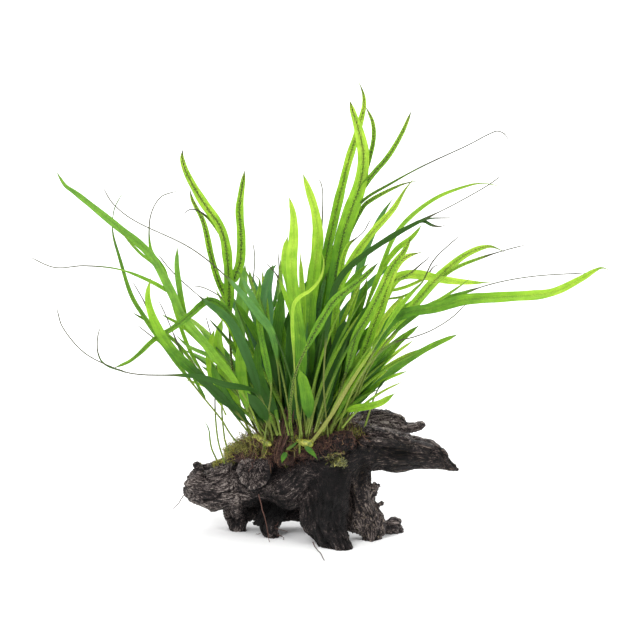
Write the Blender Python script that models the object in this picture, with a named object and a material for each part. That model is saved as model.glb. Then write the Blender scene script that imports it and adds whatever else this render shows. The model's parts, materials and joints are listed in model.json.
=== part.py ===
"""Java fern on driftwood: a dark root of driftwood on three feet, with a fern grown onto its top.

Outlines are drawn in millimetres in a front view that looks down on the object by VIEW_TILT: x runs to
the right, v runs up the view, and y is the depth behind the front leg. drawn() turns them into places
in the object's own frame, which has its origin at the middle of the front leg's sole.
"""

import math

import bmesh
import bpy
import numpy as np
from mathutils import Vector
from mathutils.bvhtree import BVHTree

VIEW_TILT = math.radians(15.0)
SOLE_X = 12.5
SOLE_Y = 2.0
MM = 0.001

CUT_CLEARANCE = 1.0
WOOD_SIDES = 12
STALK_HALF_WIDTH = 0.5
THREAD_HALF_WIDTH = 0.3
BLADE_HALF_THICKNESS = 0.22
SAMPLE_STEP = 5.0
FROND_STEP = 11.0
LOBE_STEP = 13.0
LOBE_ROOT_LENGTH = 6.0
SPLAY = 1.4
FOOT_CLEARANCE = 1.1
FOOT_REACH = 16.0

UP = np.array((0.0, 0.0, 1.0))
DEPTH = np.array((0.0, 1.0, 0.0))
SIDEWAYS = np.array((1.0, 0.0, 0.0))
INTO_VIEW = np.array((0.0, math.cos(VIEW_TILT), -math.sin(VIEW_TILT)))

# Finishes: base colour (linear RGB), roughness.
FINISHES = {
    "driftwood": ((0.020, 0.016, 0.017), 0.75),
    "fern_blade": ((0.10, 0.33, 0.02), 0.45),
    "fern_rhizome": ((0.32, 0.33, 0.05), 0.50),
    "root_fibre": ((0.10, 0.045, 0.022), 0.85),
    "moss": ((0.14, 0.18, 0.03), 0.90),
}

# Driftwood limbs. A station is (x, v, y, half size across the view, half size in depth).
TRUNK = (
    (-73.0, 36.5, 44.0, 6.5, 9.0),
    (-70.0, 35.5, 44.0, 9.6, 13.0),
    (-60.0, 33.5, 43.0, 11.8, 16.0),
    (-47.0, 35.5, 40.0, 13.0, 18.5),
    (-34.0, 36.0, 36.0, 15.0, 20.0),
    (-20.0, 36.0, 34.0, 16.0, 19.5),
    (-6.0, 42.0, 34.0, 16.5, 20.0),
    (8.0, 49.0, 35.0, 16.5, 20.0),
    (18.0, 54.0, 35.0, 14.5, 18.0),
    (28.0, 56.5, 34.0, 12.5, 16.0),
)
LIMBS = {
    "wood_right_limb": (
        (20.0, 56.5, 34.5, 12.0, 16.0),
        (30.0, 54.5, 33.0, 12.0, 15.0),
        (42.0, 53.2, 31.0, 10.4, 13.0),
        (55.0, 52.0, 28.0, 8.8, 10.5),
        (65.0, 49.5, 26.0, 6.4, 7.5),
        (70.0, 46.8, 25.3, 3.6, 4.4),
        (76.5, 43.6, 25.0, 0.7, 0.9),
    ),
    "wood_upper_spur": (
        (14.0, 66.0, 48.0, 7.0, 8.0),
        (28.0, 70.0, 50.0, 6.6, 8.0),
        (40.0, 69.5, 50.0, 4.8, 7.0),
        (48.0, 67.0, 50.0, 3.2, 5.5),
        (54.0, 66.9, 49.5, 2.7, 4.0),
        (58.0, 68.0, 49.0, 1.2, 2.0),
    ),
    "wood_left_foot": (
        (-46.0, 32.0, 38.5, 10.0, 10.0),
        (-47.5, 22.0, 38.0, 6.6, 7.5),
        (-46.0, 15.5, 38.0, 5.2, 6.0),
        (-45.0, 8.2, 38.5, 4.4, 5.2),
    ),
    "wood_root_spike": (
        (-21.0, 34.0, 32.0, 9.0, 9.0),
        (-27.0, 20.0, 27.0, 7.0, 6.5),
        (-28.5, 13.0, 25.0, 5.6, 5.0),
        (-27.5, 9.0, 23.5, 4.0, 3.6),
        (-24.5, 6.3, 23.0, 1.4, 1.6),
    ),
    "wood_central_leg": (
        (4.0, 42.0, 26.0, 15.5, 14.0),
        (4.5, 30.0, 18.0, 13.0, 12.0),
        (3.5, 18.0, 11.0, 12.6, 9.0),
        (6.0, 10.0, 7.0, 10.6, 7.0),
        (9.5, 5.0, 4.5, 7.4, 5.2),
        (12.5, -4.0, 2.0, 4.8, 4.4),
    ),
    "wood_diagonal_leg": (
        (17.0, 50.0, 30.0, 11.0, 12.0),
        (20.0, 36.0, 28.0, 8.2, 10.0),
        (22.0, 26.0, 26.0, 8.8, 8.0),
        (25.0, 17.0, 23.5, 9.8, 6.6),
        (28.0, 10.0, 21.0, 7.4, 5.0),
        (27.0, 2.6, 18.0, 3.8, 3.2),
    ),
    "wood_burl_foot": (
        (28.0, 17.0, 26.0, 6.0, 5.0),
        (35.0, 12.6, 30.0, 3.2, 4.0),
        (41.0, 11.6, 33.0, 3.7, 4.2),
        (44.6, 10.3, 34.0, 1.8, 2.2),
    ),
    "wood_rear_root": (
        (2.0, 37.0, 45.0, 10.6, 9.0),
        (4.0, 28.0, 54.0, 7.0, 7.0),
        (5.0, 20.5, 58.0, 5.4, 5.5),
        (6.0, 14.0, 60.0, 4.4, 4.6),
    ),
    "wood_knot_stub": (
        (-34.0, 41.5, 34.0, 11.0, 9.0),
        (-35.0, 41.5, 24.0, 9.4, 8.8),
        (-36.0, 41.8, 14.0, 8.4, 8.3),
        (-36.2, 42.2, 9.8, 7.8, 7.8),
    ),
}
# Pieces that lie against a neighbour are cut back from it by CUT_CLEARANCE, as well as from the trunk.
CUT_FROM = {
    "wood_upper_spur": ("wood_right_limb",),
    "wood_diagonal_leg": ("wood_central_leg",),
    "wood_burl_foot": ("wood_diagonal_leg",),
    "wood_rear_root": ("wood_central_leg", "wood_diagonal_leg"),
    "root_mat_left": ("wood_knot_stub",),
    "moss_right": ("wood_upper_spur",),
    "moss_tuft": ("wood_central_leg",),
}

# Creeping stems (rhizomes) and single roots: (x, v, y, half width, half depth).
RHIZOMES = {
    "rhizome_left": (
        (-46.0, 57.5, 30.0, 1.2, 1.2),
        (-41.0, 60.0, 29.0, 1.5, 1.5),
        (-35.0, 61.0, 26.0, 1.6, 1.6),
        (-30.0, 59.5, 22.5, 1.7, 1.7),
        (-26.5, 58.0, 20.0, 1.3, 1.3),
    ),
    "rhizome_centre": (
        (-18.0, 64.5, 27.0, 1.3, 1.3),
        (-14.5, 62.0, 23.5, 1.6, 1.6),
        (-10.0, 59.3, 20.0, 1.8, 1.8),
        (-4.0, 57.9, 18.5, 1.8, 1.8),
    ),
}
ROOTS = {
    "hair_root_brown": ((-34.0, 30.5, 13.0), (-31.5, 22.0, 12.8), (-29.0, 13.0, 12.6), (-27.3, 3.4, 12.0)),
    "hair_root_left": ((-74.6, 29.2, 42.6), (-76.4, 27.0, 42.0), (-79.0, 24.5, 41.0), (-82.0, 21.8, 40.0)),
    "hair_root_front": ((-4.0, 4.0, 2.6), (-2.5, 1.4, -1.0), (0.0, -2.2, -7.0), (2.4, -6.0, -21.5)),
}
ROOT_HALF_WIDTH = 0.3

# Lumps of fine roots and moss round the creeping stems: centre (x, v, y) and half sizes (x, depth, height).
MATS = {
    "root_mat_left": ((-37.5, 50.0, 31.0), (15.5, 13.0, 9.5)),
    "root_mat_centre": ((-9.0, 52.5, 29.0), (11.5, 12.0, 9.0)),
    "moss_right": ((13.0, 65.5, 36.0), (12.5, 12.0, 3.6)),
    "moss_tuft": ((9.5, 47.5, 15.5), (7.5, 4.0, 5.5)),
}

# Fronds: each has a route from its foot to its tip in the front view, depths along it, the blade's full
# width, the share of its length that is bare stalk at the foot and bare thread at the tip, half the width
# of a stout stalk, the blade's turn about its own line at foot and tip in degrees, and lobes. A lobe has
# its own route, which starts on the frond, how far it drifts in depth, its width and its share of thread.
FRONDS = {
    "frond_left_long": dict(
        route=((-30, 61), (-34, 66), (-36, 73), (-43, 87), (-50, 98), (-57, 106), (-64, 115), (-75, 129),
               (-82, 144), (-93, 163), (-112, 179), (-132, 195), (-139, 200), (-144, 208)),
        depths=(22, 14, 8, 4, 8, 16), width=4.8, stalk=0.06, thread=0.0, turns=(10, 20),
        lobes=(
            dict(route=((-81, 139), (-91, 147), (-109, 154), (-128, 156), (-144, 155), (-158, 161)),
                 drift=-14, width=2.4, thread=0.62),
            dict(route=((-74, 127), (-76, 140), (-78, 155), (-78, 167)), drift=8, width=3.6, thread=0.0),
            dict(route=((-82, 145), (-85, 155), (-92, 165), (-93, 178), (-91, 187), (-86, 194), (-76.5, 197)),
                 drift=7, width=2.4, thread=0.5),
            dict(route=((-88, 155), (-98, 163), (-106, 172), (-110, 177)), drift=-5, width=1.8, thread=0.1),
            dict(route=((-52, 101), (-61, 107), (-72, 112), (-80, 119)), drift=6, width=2.4, thread=0.1),
        )),
    "frond_left_thin": dict(
        route=((-45, 58), (-50, 64), (-54, 71), (-66, 86), (-75, 98), (-86, 113), (-97, 129), (-104, 141),
               (-110, 160), (-114, 175), (-113, 188), (-108, 197)),
        depths=(28, 22, 30, 40), width=2.6, stalk=0.15, thread=0.12, turns=(0, 25),
        lobes=(
            dict(route=((-90, 120), (-96, 135), (-101, 144), (-104, 149)), drift=8, width=1.2, thread=0.5),
            dict(route=((-81, 106), (-87, 113), (-94, 118.5), (-102, 124.7)),
                 drift=9, width=1.2, thread=0.5),
            dict(route=((-64, 84), (-75, 106), (-84, 128), (-88.7, 138)), drift=-12, width=1.8, thread=0.3),
        )),
    "frond_left_blue": dict(
        route=((-21, 66), (-22, 90), (-26, 118), (-35, 131), (-50, 149), (-71, 166), (-100, 180),
               (-113, 190), (-119, 200)),
        depths=(34, 22, 14, 10, 16, 24), width=4.6, stalk=0.12, thread=0.48, turns=(0, 0),
        lobes=(dict(route=((-31, 126), (-36, 137), (-42, 148), (-46, 156)),
                    drift=9, width=3.0, thread=0.1),)),
    "frond_left_dark": dict(
        route=((-27, 63), (-31, 76), (-35, 92), (-42, 112), (-50, 127), (-63, 137), (-80, 152), (-90, 164)),
        depths=(26, 16, 12, 18, 26), width=5.0, stalk=0.08, thread=0.28, turns=(0, 10), lobes=()),
    "frond_left_forked": dict(
        route=((-34, 63), (-43, 82), (-48, 96), (-50, 123), (-50, 146), (-51.5, 166), (-55, 178),
               (-64, 191),
               (-72, 205), (-75, 214), (-74.5, 220)),
        depths=(30, 34, 30, 22, 14), width=5.4, stalk=0.30, stipe=0.7, thread=0.0, turns=(0, -10),
        lobes=(
            dict(route=((-50.5, 138), (-56, 148), (-60, 162), (-64, 180), (-70, 192), (-71.5, 199)),
                 drift=7, width=3.6, thread=0.0),
            dict(route=((-49.5, 148), (-44.5, 156), (-43.3, 170), (-44.2, 186), (-43.2, 196), (-41, 209)),
                 drift=-6, width=5.0, thread=0.0),
            dict(route=((-53, 172), (-60, 181), (-67, 186.5), (-71, 187), (-75.5, 183)),
                 drift=-7, width=2.2, thread=0.4),
        )),
    "frond_left_low": dict(
        route=((-38, 64), (-42, 71), (-52, 82), (-67, 97), (-80, 110), (-89, 124), (-93.5, 139),
               (-91, 153)),
        depths=(24, 6, -4, -8, -4), width=5.4, stalk=0.05, thread=0.05, turns=(15, 10), lobes=()),
    "frond_left_drooping": dict(
        route=((-28, 65), (-36, 96), (-47, 126), (-57, 136.5), (-63, 136.5), (-70, 130.5), (-80, 122.5),
               (-90, 116.5), (-98, 109), (-104, 104), (-113, 100)),
        depths=(38, 30, 12, -2, -4), width=4.0, stalk=0.20, thread=0.0, turns=(0, 40), lobes=()),
    "frond_left_trailing": dict(
        route=((-26, 60), (-29, 75), (-34, 86), (-40, 89.3), (-52, 91.5), (-68, 96), (-98, 97), (-112, 101),
               (-127, 109), (-138, 122.5), (-141, 134)),
        depths=(18, 2, -14, -34, -48), width=3.4, stalk=0.05, thread=0.50, turns=(30, 0),
        lobes=(dict(route=((-104, 98.5), (-116.5, 102.5), (-120.5, 110), (-120, 120), (-118.5, 124)),
                    drift=10, width=1.0, thread=0.6),)),
    "frond_left_bright_tip": dict(
        route=((-31, 66), (-37, 86), (-42, 104), (-48, 122), (-56, 133), (-60, 137), (-63, 140.5)),
        depths=(34, 40, 34, 22), width=4.8, stalk=0.15, thread=0.0, turns=(0, 15),
        lobes=(dict(route=((-46, 118), (-52, 136), (-60.5, 142.5), (-65, 144.7), (-71, 145)),
                    drift=12, width=1.8, thread=0.4),)),
    "frond_left_broad": dict(
        route=((-39, 64), (-46, 80), (-52, 94), (-55.5, 107), (-56.5, 117), (-54, 128)),
        depths=(36, 44, 52, 58), width=6.0, stalk=0.10, thread=0.0, turns=(0, 10), lobes=()),
    "frond_left_broad_blue": dict(
        route=((-33, 66), (-38.5, 80), (-42, 95), (-44, 110), (-44.5, 124), (-43, 142), (-41.5, 158)),
        depths=(40, 48, 54, 62), width=7.0, stalk=0.08, thread=0.0, turns=(0, 10),
        lobes=(dict(route=((-44.5, 118), (-40, 133), (-37, 150), (-36.3, 163), (-38, 171.5)),
                    drift=12, width=2.0, thread=0.5),)),
    "frond_left_short": dict(
        route=((-27.5, 67), (-30.5, 74.5), (-35, 81), (-40, 87)),
        depths=(12, 2, -6), width=6.0, stalk=0.12, thread=0.0, turns=(10, 0), lobes=()),
    "stalk_left_outer": dict(
        route=((-54, 51), (-56.5, 60), (-58, 75), (-58, 90), (-57, 104)),
        depths=(32, 36, 44), width=1.2, stalk=0.7, thread=0.3, turns=(0, 0), lobes=()),
    "stalk_left_inner": dict(
        route=((-51.5, 55.5), (-53, 62), (-54.5, 78), (-53.5, 96), (-60, 116), (-64, 130)),
        depths=(30, 46, 62), width=1.6, stalk=0.6, thread=0.2, turns=(0, 0), lobes=()),
    "crozier_left": dict(
        route=((-58, 50.5), (-60.5, 57), (-61.5, 66), (-64.5, 71.5), (-66, 72), (-65, 70.5)),
        depths=(36, 32, 30), width=1.2, stalk=0.9, thread=0.05, turns=(0, 0), lobes=()),
    "frond_inner_dark": dict(
        route=((-24, 64), (-26, 80), (-26, 98), (-24, 116), (-22, 134), (-20, 146)),
        depths=(22, 26, 26, 30), width=6.2, stalk=0.05, thread=0.0, turns=(-10, 0),
        lobes=(dict(route=((-25.5, 104), (-31, 118), (-35, 132), (-40, 144)),
                    drift=-8, width=4.0, thread=0.05),)),
    "frond_inner_arching": dict(
        route=((-30, 64), (-28, 78), (-26.8, 90), (-29.5, 104), (-33, 122), (-34, 138), (-33, 148),
               (-38, 152)),
        depths=(14, 10, 18, 28), width=3.6, stalk=0.20, thread=0.05, turns=(0, 0), lobes=()),
    "frond_back_blue": dict(
        route=((-20, 68), (-24, 96), (-28, 124), (-30, 142), (-27, 155), (-24, 158)),
        depths=(44, 60, 76, 84), width=7.5, stalk=0.10, thread=0.0, turns=(0, 10),
        lobes=(
            dict(route=((-29, 130), (-34, 140), (-38, 148), (-40, 154)), drift=8, width=4.5, thread=0.0),
            dict(route=((-29, 128), (-25, 138), (-23, 152), (-23.5, 166)), drift=10, width=2.2, thread=0.4),
        )),
    "frond_centre_dark": dict(
        route=((-16.5, 66), (-16, 82), (-15.5, 98), (-16.5, 114), (-15.8, 126), (-15.5, 130)),
        depths=(30, 22, 20), width=6.4, stalk=0.06, thread=0.0, turns=(0, -20), lobes=()),
    "frond_centre_bright": dict(
        route=((-7.5, 63), (-9, 78), (-10, 96), (-10.5, 112), (-12, 126), (-14.5, 142), (-15.5, 158),
               (-14.3, 172), (-14.6, 184), (-17, 194)),
        depths=(20, 14, 8, 4), width=6.4, stalk=0.12, thread=0.0, turns=(5, 0),
        lobes=(
            dict(route=((-11.5, 120), (-17.5, 136), (-23, 150), (-31, 159.5)),
                 drift=9, width=2.6, thread=0.2),
            dict(route=((-14, 138), (-18.5, 152), (-19.3, 163), (-17.5, 173)),
                 drift=14, width=4.0, thread=0.0),
            dict(route=((-10.5, 114), (-9.5, 134), (-10.3, 152), (-11, 166)),
                 drift=20, width=3.6, thread=0.1),
        )),
    "frond_centre_tall": dict(
        route=((-2.5, 65), (-5, 84), (-6, 104), (-6, 126), (-4, 146), (-2, 162), (-1.2, 174),
               (-3.2, 188), (-9.5, 207)),
        depths=(32, 28, 26, 24), width=6.8, stalk=0.10, thread=0.0, turns=(0, 0),
        lobes=(dict(route=((-2.5, 152), (0.5, 172), (1.5, 190), (1, 200), (-2, 206)),
                    drift=8, width=1.6, thread=0.6),)),
    "frond_centre_pale_curl": dict(
        route=((-10.5, 64.5), (-12.5, 76), (-13.5, 92), (-14.5, 112), (-15, 128), (-13, 137.5),
               (-7.5, 140.8),
               (-1.5, 146.5), (1.6, 153), (1.8, 160), (0.2, 164.5)),
        depths=(19, 6, -6, -10), width=2.2, stalk=0.30, thread=0.05, turns=(0, 30), lobes=()),
    "frond_centre_front": dict(
        route=((-6, 66.5), (-6.3, 75), (-7.6, 86), (-9.5, 94), (-11.5, 100)),
        depths=(20, 10, 4), width=7.0, stalk=0.16, thread=0.0, turns=(-15, 10), lobes=()),
    "frond_speckled_stalk": dict(
        route=((-15, 60), (-16.5, 74), (-14, 95), (-8, 110), (-1, 123), (7, 136), (16, 143.5), (24, 150),
               (32, 158)),
        depths=(20, 4, -4, -6), width=4.6, stalk=0.35, stipe=0.8, thread=0.0, turns=(0, 0), lobes=()),
    "frond_right_tall": dict(
        route=((5, 69), (6, 90), (6, 112), (7, 134), (9, 154), (12.5, 172), (16.5, 185), (22, 201),
               (23.8, 216), (21.5, 229), (18, 240), (16, 247)),
        depths=(36, 34, 32, 30, 28), width=8.2, stalk=0.10, thread=0.0, turns=(0, 0),
        lobes=(
            dict(route=((22, 199), (26.3, 213), (29.3, 225), (28.8, 235), (24.6, 244)),
                 drift=7, width=2.8, thread=0.0),
            dict(route=((18.5, 191), (28.3, 205.5), (37.3, 216), (45, 229), (50, 241)),
                 drift=-9, width=3.2, thread=0.0),
            dict(route=((14.5, 180), (23.8, 192), (38.4, 201), (56, 210.5), (79, 221), (97, 229.3),
                        (103, 223)),
                 drift=-18, width=1.8, thread=0.55),
            dict(route=((11, 166), (22.7, 187), (29.4, 193.2), (45, 201), (55, 203)),
                 drift=12, width=2.6, thread=0.1),
        )),
    "frond_right_companion": dict(
        route=((2.5, 68.5), (1.5, 92), (0.5, 118), (1, 142), (3.5, 162), (7, 178), (11.4, 197), (16, 215),
               (21, 231), (24.4, 245), (23.2, 253), (20.4, 259)),
        depths=(40, 50, 54, 56), width=5.0, stalk=0.12, thread=0.02, turns=(0, 10), lobes=()),
    "frond_right_upper": dict(
        route=((8, 70), (9, 94), (8.5, 118), (9, 138), (17, 158), (28.3, 174), (39.5, 186.4),
               (46, 197), (52, 204.5)),
        depths=(34, 24, 12, 0), width=4.6, stalk=0.12, thread=0.05, turns=(0, 0),
        lobes=(dict(route=((9.5, 142), (12.5, 160), (17, 169.5), (22.7, 173.2), (28.8, 183.6)),
                    drift=6, width=3.2, thread=0.35),)),
    "frond_right_blue": dict(
        route=((11, 71), (14, 96), (17, 120), (20, 145), (24, 162), (31.6, 179.7), (37, 189), (41.5, 195)),
        depths=(42, 54, 62, 68), width=4.6, stalk=0.15, thread=0.03, turns=(0, 0), lobes=()),
    "frond_right_long_dark": dict(
        route=((4, 67), (2, 90), (3, 112), (6, 134), (11, 149), (22.7, 160.6), (39.5, 171.8), (56, 180.8),
               (72, 188.7), (90, 198.8), (98.5, 205)),
        depths=(16, 8, 0, -12, -20), width=3.8, stalk=0.15, thread=0.22, turns=(20, 30),
        lobes=(
            dict(route=((47, 176), (56.3, 180), (61, 177.6), (66, 177.2), (70, 179)),
                 drift=-6, width=2.2, thread=0.2),
            dict(route=((50, 178), (58, 181.2), (66, 181.8), (74.5, 181.8)),
                 drift=7, width=0.8, thread=0.6),
        )),
    "frond_right_arching": dict(
        route=((13, 71), (17, 92), (20, 112), (25, 132), (32, 150), (40, 170.7), (49.6, 183), (65, 194.3),
               (83, 201), (92, 201.8), (100, 200)),
        depths=(38, 36, 44, 54), width=2.7, stalk=0.25, thread=0.05, turns=(0, 20),
        lobes=(dict(route=((33, 153), (42, 165), (50.7, 172), (56, 179)),
                    drift=-7, width=3.2, thread=0.0),)),
    "frond_right_speckled": dict(
        route=((7, 68), (10, 84), (16, 103), (20, 118), (27, 130), (33.5, 143), (39, 155),
               (45.5, 163.5), (50, 172)),
        depths=(28, 20, 14, 8), width=5.4, stalk=0.18, stipe=0.8, thread=0.0, turns=(0, 0), lobes=()),
    "frond_right_hooked": dict(
        route=((9.5, 69), (17, 90), (24, 108), (29, 122), (34.5, 136), (37.5, 146), (42, 156),
               (48, 161.5), (59, 164.5)),
        depths=(32, 26, 28, 34), width=5.2, stalk=0.20, stipe=0.8, thread=0.05, turns=(0, 10),
        lobes=(
            dict(route=((38.5, 149), (48, 151), (54, 156), (60, 161), (61, 163.6), (59, 163.2)),
                 drift=7, width=1.6, thread=0.4),
            dict(route=((35, 137), (47, 140), (56, 147), (63, 160), (78, 174)),
                 drift=16, width=1.4, thread=0.5),
        )),
    "frond_right_forked": dict(
        route=((12, 70), (20, 90), (28, 107), (35, 118), (42, 125), (50, 133), (63, 148), (79, 161.7),
               (93, 167), (103, 163)),
        depths=(30, 20, 24, 36), width=5.0, stalk=0.18, thread=0.05, turns=(10, 0),
        lobes=(dict(route=((60, 144.5), (74.3, 155), (90, 161.2), (104, 165.5), (114, 168)),
                    drift=9, width=2.2, thread=0.3),)),
    "frond_right_yellow": dict(
        route=((15, 72), (22, 92), (28, 112), (33, 130), (38, 143), (44, 150.5), (55, 151.5), (70, 148.5),
               (84, 147.3), (97, 147.4)),
        depths=(44, 52, 56, 60), width=5.2, stalk=0.25, stipe=0.8, thread=0.05, turns=(0, 10),
        lobes=(dict(route=((37, 141), (48, 145), (58, 150), (63, 156), (68, 157.6)),
                    drift=8, width=2.0, thread=0.2),)),
    "frond_right_low": dict(
        route=((14, 71), (20.5, 88), (27, 104), (33.5, 117), (40, 127), (50, 131), (62, 133), (79, 137.5),
               (101, 139), (124, 141), (140, 148.3), (150.5, 154.4), (156.3, 153)),
        depths=(26, 8, -8, -20, -30), width=5.8, stalk=0.15, thread=0.02, turns=(0, 10),
        lobes=(dict(route=((52, 131.5), (64, 137), (77.7, 146), (82.3, 149.6)),
                    drift=9, width=1.8, thread=0.1),)),
    "frond_right_low_thread": dict(
        route=((17, 73), (25, 96), (36, 114), (48, 126), (61, 135), (79, 141.5), (97, 147),
               (118, 150.5), (146, 152.2)),
        depths=(34, 10, 4, 6), width=3.2, stalk=0.20, thread=0.36, turns=(0, 0), lobes=()),
    "frond_right_thread": dict(
        route=((10.5, 68.5), (18, 88), (27, 103), (38.4, 113.5), (49.6, 117), (58.6, 120.2), (67.6, 125.3),
               (73.2, 129.7), (79, 135.5)),
        depths=(20, -6, -24, -34), width=2.0, stalk=0.35, thread=0.4, turns=(0, 0), lobes=()),
    "frond_right_base": dict(
        route=((10, 73.2), (15, 76.6), (22, 78.3), (33, 80.8), (41.5, 86.8)),
        depths=(22, 14, 8), width=4.0, stalk=0.06, thread=0.04, turns=(0, 10), lobes=()),
    "frond_right_broad": dict(
        route=((0.5, 67), (2.5, 84), (6, 98), (10.5, 112), (14, 127.5)),
        depths=(24, 22, 24), width=9.5, stalk=0.04, thread=0.0, turns=(0, 0), lobes=()),
    "frond_right_edge": dict(
        route=((6.3, 71.5), (8.2, 84), (11, 98), (15, 112), (21, 124), (29, 135), (34, 139.5)),
        depths=(42, 38, 36), width=7.4, stalk=0.06, thread=0.0, turns=(0, 0), lobes=()),
    "stalk_front_pale": dict(
        route=((-3.5, 60.8), (0.5, 66), (8, 77), (16, 91), (25, 105), (32, 116), (40, 129), (47, 138),
               (58, 150)),
        depths=(16, 2, -2, 0), width=3.0, stalk=0.55, stipe=1.0, thread=0.05, turns=(0, 0), lobes=()),
}


def drawn(x, v, y):
    """The place, in millimetres, of a point drawn at x, v in the front view at depth y."""
    return np.array((x - SOLE_X, y - SOLE_Y, (v - y * math.sin(VIEW_TILT)) / math.cos(VIEW_TILT)))


def unit(vector):
    return vector / max(np.linalg.norm(vector), 1e-9)


def ramp(start, end, value):
    """0 before start, 1 after end, and smooth between them."""
    share = np.clip((value - start) / max(end - start, 1e-9), 0.0, 1.0)
    return share * share * (3.0 - 2.0 * share)


def smooth(points, steps=8):
    """Points close together on a smooth curve through the given ones (Catmull-Rom)."""
    points = np.asarray(points, float).reshape(len(points), -1)
    ends = np.vstack([2 * points[0] - points[1], points, 2 * points[-1] - points[-2]])
    share = np.linspace(0.0, 1.0, steps, endpoint=False)[:, None]
    spans = []
    for before, start, end, after in zip(ends, ends[1:], ends[2:], ends[3:]):
        slope = (end - before) * share
        bend = (2 * before - 5 * start + 4 * end - after) * share**2
        twist = (3 * start - before - 3 * end + after) * share**3
        spans.append(start + 0.5 * (slope + bend + twist))
    return np.vstack(spans + [points[-1:]])


def shares_of(points):
    """How far along its line each point lies, from 0 to 1, and the line's length."""
    steps = np.linalg.norm(np.diff(points, axis=0), axis=1)
    along = np.concatenate([[0.0], np.cumsum(steps)])
    return along / along[-1], along[-1]


def at_shares(points, wanted):
    share, _ = shares_of(points[:, :2])
    return np.column_stack([np.interp(wanted, share, column) for column in points.T])


def new_object(name, points, faces, finish):
    """An object of the given points, in millimetres, and faces, with its normals facing out."""
    mesh = bpy.data.meshes.new(name)
    mesh.from_pydata([tuple(point * MM) for point in points], [], faces)
    shape = bmesh.new()
    shape.from_mesh(mesh)
    bmesh.ops.recalc_face_normals(shape, faces=shape.faces)
    shape.to_mesh(mesh)
    shape.free()
    mesh.materials.append(bpy.data.materials[finish])
    made = bpy.data.objects.new(name, mesh)
    bpy.context.scene.collection.objects.link(made)
    return made


def new_finish(name, colour, roughness):
    finish = bpy.data.materials.new(name)
    finish.use_nodes = True
    shader = finish.node_tree.nodes["Principled BSDF"]
    shader.inputs["Base Color"].default_value = (*colour, 1.0)
    shader.inputs["Roughness"].default_value = roughness
    shader.inputs["Metallic"].default_value = 0.0


def as_helper(made):
    """Keeps a cutter out of renders and out of the built part."""
    made.hide_render = True
    made.display_type = "WIRE"
    return made


def cut(piece, cutter):
    """Takes the cutter's space out of the piece."""
    boolean = piece.modifiers.new("cut_from_" + cutter.name, "BOOLEAN")
    boolean.operation = "DIFFERENCE"
    boolean.solver = "EXACT"
    boolean.object = cutter


def limb(name, stations, finish, sides=WOOD_SIDES, grow=0.0, flutes=0.09):
    """A tapering tube of oval, slightly fluted rings through the stations, cut flat at the floor."""
    centres = np.array([drawn(*station[:3]) for station in stations])
    rings = []
    for index, station in enumerate(stations):
        before = centres[max(index - 1, 0)]
        after = centres[min(index + 1, len(centres) - 1)]
        along = unit(after - before)
        side = SIDEWAYS if abs(along[1]) > 0.85 else unit(np.cross(along, DEPTH))
        deep = unit(np.cross(side, along))
        centre = centres[index]
        if grow and index == 0:
            centre = centre - along * grow
        if grow and index == len(stations) - 1:
            centre = centre + along * grow
        for step in range(sides):
            angle = 2 * math.pi * step / sides
            wave = 1.0 + flutes * math.sin(3 * angle + centres[index][0] * 0.11)
            across = (station[3] * wave + grow) * math.cos(angle)
            depth = (station[4] * wave + grow) * math.sin(angle)
            rings.append(centre + side * across + deep * depth)
    points = np.array(rings)
    if not grow:
        points[:, 2] = np.maximum(points[:, 2], 0.0)
    faces = [tuple(range(sides)), tuple(range(len(points) - sides, len(points)))]
    for ring in range(len(stations) - 1):
        for step in range(sides):
            low, high = ring * sides + step, ring * sides + (step + 1) % sides
            faces.append((low, high, high + sides, low + sides))
    return new_object(name, points, faces, finish)


def mat(name, centre, half_sizes, finish, rings=5, sides=12):
    """A low dome with a flat underside."""
    middle = drawn(*centre)
    points = []
    for ring in range(rings):
        lift = math.sin(0.5 * math.pi * ring / rings)
        spread = math.cos(0.5 * math.pi * ring / rings)
        for step in range(sides):
            angle = 2 * math.pi * step / sides
            wave = 1.0 + 0.08 * math.sin(4 * angle + ring)
            offset = (math.cos(angle) * spread * wave, math.sin(angle) * spread * wave, lift)
            points.append(middle + np.array(offset) * np.array(half_sizes))
    points.append(middle + UP * half_sizes[2])
    top = len(points) - 1
    faces = [tuple(range(sides))]
    for ring in range(rings - 1):
        for step in range(sides):
            low, high = ring * sides + step, ring * sides + (step + 1) % sides
            faces.append((low, high, high + sides, low + sides))
    for step in range(sides):
        last = (rings - 1) * sides
        faces.append((last + step, last + (step + 1) % sides, top))
    return new_object(name, np.array(points), faces, finish)


def make_driftwood():
    limb("wood_trunk", TRUNK, "driftwood")
    grown_trunk = as_helper(limb("trunk_clearance", TRUNK, "driftwood", grow=CUT_CLEARANCE))
    clearances = {"wood_trunk": grown_trunk}
    for name in sorted({limb_name for against in CUT_FROM.values() for limb_name in against}):
        clearances[name] = as_helper(
            limb(name + "_clearance", LIMBS[name], "driftwood", grow=CUT_CLEARANCE))
    for name, stations in LIMBS.items():
        piece = limb(name, stations, "driftwood")
        for neighbour in ("wood_trunk",) + CUT_FROM.get(name, ()):
            cut(piece, clearances[neighbour])
    return clearances


def make_rhizomes_and_mats(clearances):
    grown_trunk = clearances["wood_trunk"]
    helpers = [grown_trunk]
    for name, stations in RHIZOMES.items():
        cut(limb(name, stations, "fern_rhizome", sides=8), grown_trunk)
        grown = limb(name + "_clearance", stations, "fern_rhizome", sides=8, grow=CUT_CLEARANCE)
        helpers.append(as_helper(grown))
    for name, (centre, half_sizes) in MATS.items():
        finish = "moss" if name.startswith("moss") else "root_fibre"
        piece = mat(name, centre, half_sizes, finish)
        for helper in helpers + [clearances[neighbour] for neighbour in CUT_FROM.get(name, ())]:
            cut(piece, helper)


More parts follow.
